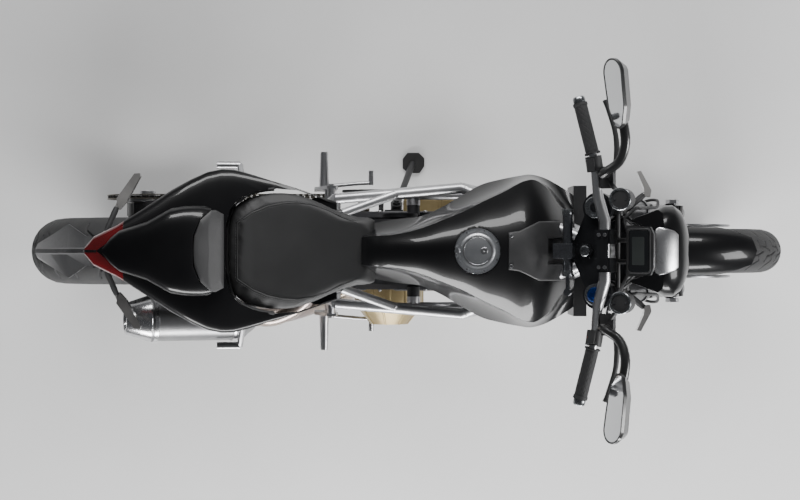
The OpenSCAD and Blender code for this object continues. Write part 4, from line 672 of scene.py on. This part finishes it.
# Controls: moulded switch housings, cast levers and fluid cups, clamped to the bar.
# The right housing has a red stop switch; each cup has a clamp ring and two lid screws.
dress("controls", moulded_black)
red_switch = coat("red_switch", (0.45, 0.02, 0.02), (0.36, 0.016, 0.016), (0.3, 0.4))
stop_profile = [(7, -2), (7, 4), (5.5, 5.5), (0.5, 5.5)]
stop_switch = turned(forked((8, -206, 785)), fork_up, stop_profile, 20)
build("stop_switch", [stop_switch], "front_end", red_switch)
# Columns: place of the key in the fork's frame, radius
key_rows = [((10, 202, 784), 5), ((0, 214, 787), 4), ((14, 216, 784), 4), ((16, -218, 783), 4)]
keys = [turned(forked(at), fork_up, [(r, -3), (r, 3), (0.8 * r, 4), (0.4, 4)], 16) for at, r in key_rows]
build("switch_keys", keys, "front_end", trim_grey)
cup_x, cup_y, cup_top, lid_screw_x = 92, 122, 824, 14
cup_profile = [(21, -0.5), (26.5, -0.5), (27, 1), (25.5, 2.6), (22, 2.6), (21, 1)]
cup_trims = [
    turned(forked((cup_x, y, cup_top)), fork_up, cup_profile, 36, ring=True) for y in (-cup_y, cup_y)]
cup_trims += [
    bolt(forked((cup_x + x, y, cup_top)), fork_up, 2.6, 2)
    for y in (-cup_y, cup_y) for x in (-lid_screw_x, lid_screw_x)]
build("cup_rings", cup_trims, "front_end", cap_grey)

# Front brake hoses: braided line under a black cover, from the master cylinder down each leg to its caliper.
# Each is one smooth curve through chosen points of the fork's frame, with a crimped ferrule at either end.
hose_r, ferrule_points = 4.0, 8
ferrule_r = [4.2, 5.2, 5.2, 5.0, 5.0, 5.2, 5.2, 4.2]
hose_routes = {
    "right_hose": [
        (44, -149.3, 755.6), (45, -141, 754), (49, -133, 746), (56, -122, 716), (68, -112, 670),
        (72, -104, 622), (60, -107, 560), (48, -108, 500), (40, -112, 420), (38, -113, 350),
        (33, -118, 280), (16, -136, 222), (-24, -135, 188), (-66, -112, 176), (-90, -86, 172),
        (-95, -77, 162), (-96, -76, 152.8)],
    "left_hose": [
        (44, -149.3, 765), (45, -139, 765), (50, -126, 761), (62, -100, 735), (70, -60, 690),
        (76, -26, 668), (76, 0, 660), (68, 30, 656), (54, 60, 650), (51, 76, 650), (62, 92, 640),
        (68, 105, 612), (60, 108, 560), (48, 108, 500), (40, 112, 420), (38, 113, 350), (33, 118, 280),
        (16, 136, 222), (-24, 135, 188), (-66, 112, 176), (-90, 86, 172), (-95, 77, 162), (-96, 76, 152.8)]}
ferrules = []
for name, route in hose_routes.items():
    count = len(route)
    line = eased(np.column_stack([np.arange(count), forked(route)]), np.linspace(0, count - 1, 10 * count))
    hose = build(name, [bent(line, hose_r, 14, forward)], "front_end", rubber)
    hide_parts("brake_hoses")
    for end in (line[:ferrule_points], line[-ferrule_points:]):
        ferrules.append(bent(end, ferrule_r, 14, forward))
build("hose_ferrules", ferrules, "front_end", zinc)

# Mirrors: moulded shells in satin black on cast stalks, screwed into the control clamps.
# Silvered glass is set behind the rim of each.
shell_black = coat(
    "satin_black_shell", (0.010, 0.010, 0.0105), (0.014, 0.014, 0.0145), (0.26, 0.36), grain=1800,
    Coat_Weight=0.6, Coat_Roughness=0.12)
dress("mirrors", shell_black)
silvered = coat(
    "silvered_glass", (0.86, 0.87, 0.88), (0.84, 0.85, 0.86), (0.02, 0.03), metal=1.0, relief=0.0)
dress("mirror_glass", silvered)

# Steering damper: a hydraulic cylinder across the top clamp, its body held on the tank side by a clamp block.
# Turned collars close both ends of the body.
damper_grey = coat("damper_grey", (0.20, 0.205, 0.22), (0.16, 0.165, 0.18), (0.24, 0.34), metal=1.0, patch=50)
dress("steering_damper", damper_grey)
damper_x, damper_z = -63.9, 742
collar_profile = [(9, -3), (13, -3), (13.6, -1), (13.6, 8), (13, 10), (9, 10)]
collars = [turned(forked((damper_x, y, damper_z)), across, collar_profile, 32, ring=True) for y in (-58, 92)]
build("damper_collars", collars, "chassis", cap_grey)

# Headlamp: a lacquered shell on a steel bracket, with a bright round reflector and a projector lens in it.
# A brushed aluminium shield is screwed over its top.
dress("headlight_shell", gloss_black)
dress("lamp_bracket", black_paint)
lamp_z = 838
lamp_bright = coat(
    "lamp_reflector", (0.74, 0.75, 0.76), (0.70, 0.71, 0.72), (0.06, 0.12), metal=1.0, patch=50, relief=0.0)
# Columns: radius, x
reflector_profile = [
    (39.5, 641), (39.5, 675), (38.6, 676.4), (37.4, 675.6), (36, 669), (32.5, 662), (28, 657), (23, 653.5),
    (0.5, 651)]
projector_profile = [
    (24, 649), (24, 657), (22.5, 658.5), (22, 660), (20.5, 665), (17, 669.4), (12, 672.4), (6, 674.2),
    (0.4, 674.8)]
reflector = turned((0, 0, lamp_z), forward, reflector_profile, 56)
lamp_reflector = build("lamp_reflector", [reflector], "front_end", lamp_bright)
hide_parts("headlight_lens")
lamp_glass = coat(
    "lamp_glass", (0.05, 0.055, 0.06), (0.04, 0.045, 0.05), (0.02, 0.05), relief=0.0, Coat_Weight=1.0)
projector = turned((0, 0, lamp_z), forward, projector_profile, 48)
build("lamp_projector", [projector], "front_end", lamp_glass)
# Columns: x, half width, lower z, upper z
lamp_rows = np.array([
    [575, 72, 812, 932], [596, 98, 792, 940], [622, 112, 780, 938], [646, 114, 778, 926],
    [666, 100, 786, 908], [680, 74, 802, 886], [688, 44, 822, 866]], float)
shield_back, shield_front, shield_rise, lamp_power = 590, 652, 2.4, 2.6
shield_x, v = np.meshgrid(np.linspace(shield_back, shield_front, 40), np.linspace(-1, 1, 50), indexing="ij")
shield_y = v * np.interp(shield_x, [shield_back, 600, 640, shield_front], [50, 62, 50, 40])
width, low, high = (c.reshape(shield_x.shape) for c in eased(lamp_rows, shield_x.ravel()).T)
bulge = (1 - np.abs(shield_y / width) ** lamp_power) ** (1 / lamp_power)
shield_z = (low + high) / 2 + (high - low) / 2 * bulge + shield_rise
shield_z -= rolled_edge(shield_x, v, shield_back, shield_front, 40, 0.06, 3.0)
brushed_shield = coat(
    "brushed_shield", (0.66, 0.66, 0.67), (0.58, 0.58, 0.59), (0.24, 0.34), metal=1.0, patch=40)
lamp_shield = build(
    "lamp_shield", [panel(shield_x, shield_y, shield_z)], "front_end", brushed_shield)
walled(lamp_shield, panel_wall)

# Front indicators: smoked lenses on straight stems from the fork.
# A rubber sleeve with a bead at each end covers most of the stem.
smoked = coat("smoked_lens", (0.21, 0.205, 0.20), (0.15, 0.147, 0.144), (0.08, 0.14), Coat_Weight=1.0)
dress("front_indicators", smoked)
sleeve_steps, stem_r = np.array([-1.2, 0, -0.5, -0.5, 0, -1.2]), 8


def sleeves(ends, share):
    """Rubber sleeves on the left and right stem between two points, over a share of the stem's length."""
    lens, root = np.array(ends, float)
    at = lens + np.linspace(*share, len(sleeve_steps))[:, None] * (root - lens)
    return [bent(at * (1, side, 1), stem_r + sleeve_steps, 14) for side in (1, -1)]


front_stems = sleeves(((581, 146, 879), forked((40, 94, 630))), (0.14, 0.84))
build("front_stems", front_stems, "front_end", rubber)

# Instrument: a flat moulded case facing the rider, screwed to the lamp bracket.
# A raised bezel holds a dark glass face with a lighter display behind it.
dress("instrument", moulded_black)
dash_x, dash_z, dash_top, dash_tilt = 551, 985, 24, math.radians(18)


def dash(x, y, z):
    """Points of the instrument's own frame, tilted towards the rider, as upright millimetres."""
    c, s = math.cos(dash_tilt), math.sin(dash_tilt)
    x, y, z = np.broadcast_arrays(np.asarray(x, float), y, z)
    return np.stack([dash_x + x * c - z * s, y, dash_z + x * s + z * c], -1)


def plate(middle_x, half_x, half_y, corner, steps, k=12):
    """A plate with round corners, k points to a corner; the rows of steps are how far its outline is drawn in
    and how high it stands."""
    a = np.linspace(0, np.pi / 2, k)[None] + np.arange(4)[:, None] * np.pi / 2
    mid = np.array([(1, 1), (-1, 1), (-1, -1), (1, -1)])[:, None] * (half_x - corner, half_y - corner)
    x, y = (mid + corner * np.stack([np.cos(a), np.sin(a)], -1)).reshape(-1, 2).T
    rim = np.hypot(x, y)
    rows = [dash(middle_x + x * (1 - inset / rim), y * (1 - inset / rim), dash_top + h) for inset, h in steps]
    return shell(leaned(np.stack(rows)))


bezel = plate(-1, 28, 55, 9, [(0, -1), (0, 2), (1.5, 3), (4, 3), (5, 1), (5.5, -1)])
build("instrument_bezel", [bezel], "front_end", moulded_black)
dark_glass = coat(
    "dark_glass", (0.006, 0.007, 0.008), (0.008, 0.009, 0.010), (0.05, 0.09), relief=0.0, Coat_Weight=1.0)
face = plate(-1, 23.5, 50.5, 6, [(0, -0.5), (0, 1.4), (0.5, 1.6)])
build("instrument_glass", [face], "front_end", dark_glass)
display_grey = coat(
    "display_grey", (0.035, 0.040, 0.038), (0.030, 0.034, 0.033), (0.12, 0.2), relief=0.0, Coat_Weight=1.0)
display = plate(-3, 15, 34, 3, [(0, 1.2), (0, 1.9), (0.4, 2.0)])
build("instrument_display", [display], "front_end", display_grey)

# Rider's seat: moulded foam under a stretched grained cover, broad at the rear and narrow at the tank.
# The cover is swollen by cloth pressure from a smaller form; a seam with double stitching lies on it.
# A dark rubber strip laid in the gap to the tail round the rear edge is painted shade: it stands in for the
# shade in that gap.
# Columns: x, half width, lower z, upper z
seat_rows = np.array([
    [-459, 60, 812, 842], [-451, 98, 804, 844], [-430, 126, 796, 842], [-390, 145, 792, 836],
    [-340, 152, 790, 829], [-290, 148, 790, 825], [-240, 132, 792, 823], [-190, 110, 798, 824],
    [-150, 96, 802, 826], [-125, 91, 804, 827], [-100, 87, 806, 825], [-86, 80, 808, 821]], float)
seat_back, seat_front, seat_power, dish_depth = -459, -86, 0.62, 5.0
voxel, swell_cap, swell_frames = 0.005, 0.006, 20
seat_cover = coat(
    "grained_seat_cover", (0.010, 0.010, 0.0105), (0.015, 0.015, 0.0155), (0.50, 0.62), patch=9, grain=950,
    relief=0.5, depth=0.0005, Sheen_Weight=0.06)


def squared(v):
    """A sine or cosine drawn out to a fuller section by a power of its size."""
    return np.sign(v) * np.abs(v) ** seat_power


def corners(obj):
    """The places of an object's vertices as rows of x, y and z."""
    at = np.empty(3 * len(obj.data.vertices))
    obj.data.vertices.foreach_get("co", at)
    return at.reshape(-1, 3)


def inflate(obj):
    """A remeshed form swollen by cloth pressure for some frames, no point moving further than a cap."""
    bpy.context.view_layer.objects.active = obj
    remesh = obj.modifiers.new("remesh", "REMESH")
    remesh.mode, remesh.voxel_size = "VOXEL", voxel
    bpy.ops.object.modifier_apply(modifier="remesh")
    start = corners(obj)
    cloth = obj.modifiers.new("cloth", "CLOTH")
    cloth.settings.use_pressure, cloth.settings.uniform_pressure_force = True, 4.0
    cloth.settings.effector_weights.gravity = 0
    cloth.settings.quality, cloth.settings.tension_stiffness = 4, 25
    for step in range(1, swell_frames + 1):
        bpy.context.scene.frame_set(step)
    move = corners(obj.evaluated_get(bpy.context.evaluated_depsgraph_get())) - start
    obj.modifiers.remove(cloth)
    bpy.context.scene.frame_set(1)
    size = np.linalg.norm(move, axis=1, keepdims=True)
    done = start + move * np.minimum(1, swell_cap / np.maximum(size, 1e-9))
    obj.data.vertices.foreach_set("co", done.ravel())
    obj.data.polygons.foreach_set("use_smooth", np.full(len(obj.data.polygons), True))
    obj.data.update()
    relax = obj.modifiers.new("relax", "SMOOTH")
    relax.factor, relax.iterations = 0.5, 6
    bpy.ops.object.modifier_apply(modifier="relax")
    fine = obj.modifiers.new("fine", "SUBSURF")
    fine.levels = fine.render_levels = 1


def upright(p):
    """Parked metres back to upright millimetres: the shift undone, then the lean."""
    x, y, z = np.moveaxis(np.asarray(p, float) * 1000, -1, 0)
    z = z - park_z
    back_y = y * lean_c - z * lean_s + lean_axis_z * lean_s * lean_c
    back_z = y * lean_s + z * lean_c + lean_axis_z * lean_s ** 2
    return np.stack([x - park_x, back_y, back_z], -1)


seat_x = np.linspace(seat_back, seat_front, 96)
width, low, high = eased(seat_rows, seat_x).T[:, :, None]
a = np.linspace(0, 2 * np.pi, 96, endpoint=False)
seat_y = width * squared(np.cos(a))
dish = dish_depth * np.clip(1 - (seat_y / width) ** 2, 0, 1) * (np.sin(a) > 0)
dish = dish * np.clip((seat_x[:, None] - seat_back) / 60, 0, 1)
seat_z = (low + high) / 2 + (high - low) / 2 * squared(np.sin(a)) - dish
seat_form = np.stack([np.broadcast_to(seat_x[:, None], seat_y.shape), seat_y, seat_z], -1)
rider_cushion = build("rider_cushion", [shell(leaned(seat_form))], "chassis", seat_cover)
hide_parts("rider_seat")
inflate(rider_cushion)
seam_front, seam_back, side_points, back_points = -135, -436, 150, 60
seam_r, seam_reach, seat_mid_z = 1.9, 7.5, 806
seam_half = [70, 96, 112, 120, 122, 116, 102, 84, 70]
seam_run = np.linspace(seam_front, seam_back, side_points)
seam_x = np.hstack([seam_run, np.full(back_points, float(seam_back)), seam_run[::-1]])
seam_w = np.interp(seam_run, np.linspace(seam_back, seam_front, len(seam_half)), seam_half)
seam_turn = np.linspace(seam_w[-1], -seam_w[-1], back_points + 2)[1:-1]
seam_y = np.hstack([seam_w, seam_turn, -seam_w[::-1]])
cover_at = upright(corners(rider_cushion))
cover_at = cover_at[cover_at[:, 2] > seat_mid_z]
near = np.hypot(seam_x[:, None] - cover_at[:, 0], seam_y[:, None] - cover_at[:, 1]) < seam_reach
seam_z = np.where(near, cover_at[:, 2], 0).sum(1) / np.maximum(near.sum(1), 1)
seam_z = np.convolve(np.pad(seam_z, 4, mode="edge"), np.ones(9) / 9, mode="valid")
seam_path = np.stack([seam_x, seam_y, seam_z], -1)
build("seat_seam", [bent(seam_path, seam_r, 8)], "chassis", seat_cover)
thread = coat("grey_thread", (0.055, 0.055, 0.057), (0.045, 0.045, 0.046), (0.6, 0.7), grain=2500)
stitch_off, stitch_rise, stitch_r = 4.5, 0.6, [0.3, 0.75, 0.3]
flat = unit(np.gradient(seam_path, axis=0) * (1, 1, 0))
beside = np.stack([-flat[:, 1], flat[:, 0], 0 * flat[:, 0]], -1)
stitches = []
for off in (-stitch_off, stitch_off):
    line = seam_path + off * beside + (0, 0, stitch_rise)
    stitches += [bent(line[i:i + 3], stitch_r, 6) for i in range(3, len(line) - 4, 3)]
build("seat_stitches", stitches, "chassis", thread)
# Painted shade: a dark rubber strip set in the gap between seat and tail, where there is only shade.
shade_strip_z, shade_strip_r, shade_strip_gap, shade_strip_start, shade_strip_points, shade_strip_back_points = 819.0, 5.0, 3.5, -345, 40, 12
shade_strip_run = np.linspace(shade_strip_start, seat_back, shade_strip_points)
shade_strip_x = np.hstack([shade_strip_run, np.full(shade_strip_back_points, seat_back - 4.0), shade_strip_run[::-1]])
shade_strip_w = eased(seat_rows, shade_strip_run)[:, 0] + shade_strip_gap
shade_strip_turn = np.linspace(shade_strip_w[-1], -shade_strip_w[-1], shade_strip_back_points + 2)[1:-1]
shade_strip_y = np.hstack([shade_strip_w, shade_strip_turn, -shade_strip_w[::-1]])
shade_strip_path = np.stack([shade_strip_x, shade_strip_y, np.full(len(shade_strip_x), shade_strip_z)], -1)
build("gap_shade_strip", [bent(shade_strip_path, shade_strip_r, 8)], "chassis", rubber)

# Tail: lacquered side panels over the subframe and a cowl on the passenger's place, held by hidden screws.
# A foam pad under a grained cover leans against the front of the cowl.
for part in ("tail_fairing", "passenger_cowl"):
    dress(part, gloss_black)
pad_grey = coat(
    "pad_grain", (0.030, 0.030, 0.031), (0.038, 0.038, 0.039), (0.46, 0.58), grain=900, relief=0.5,
    depth=0.0005)
# Columns: x, y of the pad's corners
pad_corners = np.array([
    (-536, -36), (-520, -78), (-494, -102), (-484, -102), (-466, -92), (-466, 0), (-466, 92), (-484, 102),
    (-494, 102), (-520, 78), (-536, 36), (-538, 0)], float)
pad_middle = np.array((-498.0, 0.0))
# Columns: share of the outline, drop below the sloping top; the last rows turn under to the base
pad_rows = np.array([
    (0.02, -3.0), (0.3, -2.9), (0.6, -2.4), (0.8, -1.2), (0.92, 1.0), (0.975, 4.0), (0.99, 8.0),
    (0.985, 30.0), (0.02, 30.0)])
corner_at = np.arange(len(pad_corners) + 1)
edge_at = np.linspace(0, len(pad_corners), 120, endpoint=False)
pad_edge = np.stack([np.interp(edge_at, corner_at, np.append(c, c[0])) for c in pad_corners.T], -1)
pad_flat = pad_middle + pad_rows[:, :1, None] * (pad_edge - pad_middle)
pad_top = np.interp(pad_flat[..., 0], [-539, -500, -466], [926, 909, 884])
pad_low = np.interp(pad_flat[..., 0], [-539, -510, -476, -466], [880, 877, 871, 869])
pad_z = np.maximum(pad_top - pad_rows[:, 1:], pad_low + 0.4)
pad_form = np.concatenate([pad_flat, pad_z[..., None]], -1)
passenger_pad = build("passenger_pad", [shell(leaned(pad_form))], "chassis", pad_grey)
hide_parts("seat_pad")

# Tail lamp and rear indicators: a red lens wrapped round the tail's end, a black divider down its middle.
# The indicators have smoked lenses on stems from the plate carrier, under rubber sleeves.
red_lens = coat("red_lens", (0.11, 0.004, 0.006), (0.07, 0.003, 0.004), (0.08, 0.14), Coat_Weight=1.0)
dress("tail_light", red_lens)
# Columns: x, z of the divider's line
divider_line = np.array([
    (-812.5, 848), (-812.5, 860), (-812, 869), (-808, 873.5), (-795, 877.4), (-781, 881)])
divider_r = 3.0
divider = bent(np.insert(divider_line, 1, 0, axis=1), divider_r, 8, across)
build("light_divider", [divider], "chassis", gloss_black)
dress("rear_indicators", smoked)
rear_stems = sleeves(((-742, 124, 775), (-776, 36, 803)), (0.16, 0.86))
build("rear_stems", rear_stems, "chassis", rubber)

# Plate carrier: a folded moulding in satin grey plastic.
# It is screwed to the tray under the tail and reaches back over the tyre.
carrier_grey = coat(
    "satin_grey_plastic", (0.030, 0.030, 0.032), (0.042, 0.042, 0.044), (0.24, 0.36), grain=1500)
dress("plate_bracket", carrier_grey)

# Footrests and stand: forged rests, gear lever and brake pedal in bright grey, bolted to the frame.
# The side stand is a black painted tube on its own bracket below the engine.
forged = coat("forged_grey", (0.46, 0.46, 0.47), (0.40, 0.40, 0.41), (0.26, 0.36), metal=1.0, patch=40)
for part in ("footrests", "foot_levers"):
    dress(part, forged)
for part in ("side_stand", "stand_bracket"):
    dress(part, black_paint)

# Stage: a pale floor under soft light from the sides and the front.
# The camera looks down the machine's own vertical, as if it stood upright.
floor = bpy.data.objects.new("floor", bpy.data.meshes.new("floor"))
floor.data.from_pydata([(-9, -9, 0), (9, -9, 0), (9, 9, 0), (-9, 9, 0)], [], [(0, 1, 2, 3)])
pale_floor = coat("pale_floor", (0.62, 0.62, 0.62), (0.58, 0.58, 0.58), (0.6, 0.75), patch=1.2, grain=60)
floor.data.materials.append(pale_floor)
bpy.context.scene.collection.objects.link(floor)
world = bpy.data.worlds.new("studio")
bpy.context.scene.world = world
world.use_nodes = True
sky = world.node_tree.nodes["Background"]
sky.inputs["Color"].default_value = (0.55, 0.57, 0.6, 1)
sky.inputs["Strength"].default_value = 0.14


def softbox(name, at, aim, width, length, watts):
    """A rectangular light at a point, turned to face another."""
    light = bpy.data.lights.new(name, "AREA")
    light.shape, light.size, light.size_y, light.energy = "RECTANGLE", width, length, watts
    obj = bpy.data.objects.new(name, light)
    back = unit(np.subtract(at, aim))
    side = unit(np.cross((1.0, 0.0, 0.02), back))
    turn = np.stack([np.cross(back, side), side, back], 1)
    obj.matrix_world = Matrix([[*turn[i], at[i]] for i in range(3)] + [[0, 0, 0, 1]])
    bpy.context.scene.collection.objects.link(obj)


softbox("right_strip", (0.0, -2.6, 1.5), (0.0, 0.0, 0.7), 3.8, 0.6, 210)
softbox("left_strip", (0.0, 2.6, 1.9), (0.0, 0.0, 0.7), 3.6, 0.6, 130)
softbox("front_fill", (2.9, -0.6, 2.0), (0.3, 0.0, 0.6), 1.2, 1.2, 80)
camera = bpy.data.cameras.new("above")
camera.lens, camera.sensor_width = 75.0, 36.0
eye = bpy.data.objects.new("above", camera)
eye_x, eye_y, eye_z = leaned((-30.0, 2.5, 5000.0))
eye.matrix_world = Matrix([
    [1, 0, 0, eye_x], [0, lean_c, lean_s, eye_y], [0, -lean_s, lean_c, eye_z], [0, 0, 0, 1]])
bpy.context.scene.collection.objects.link(eye)
bpy.context.scene.camera = eye
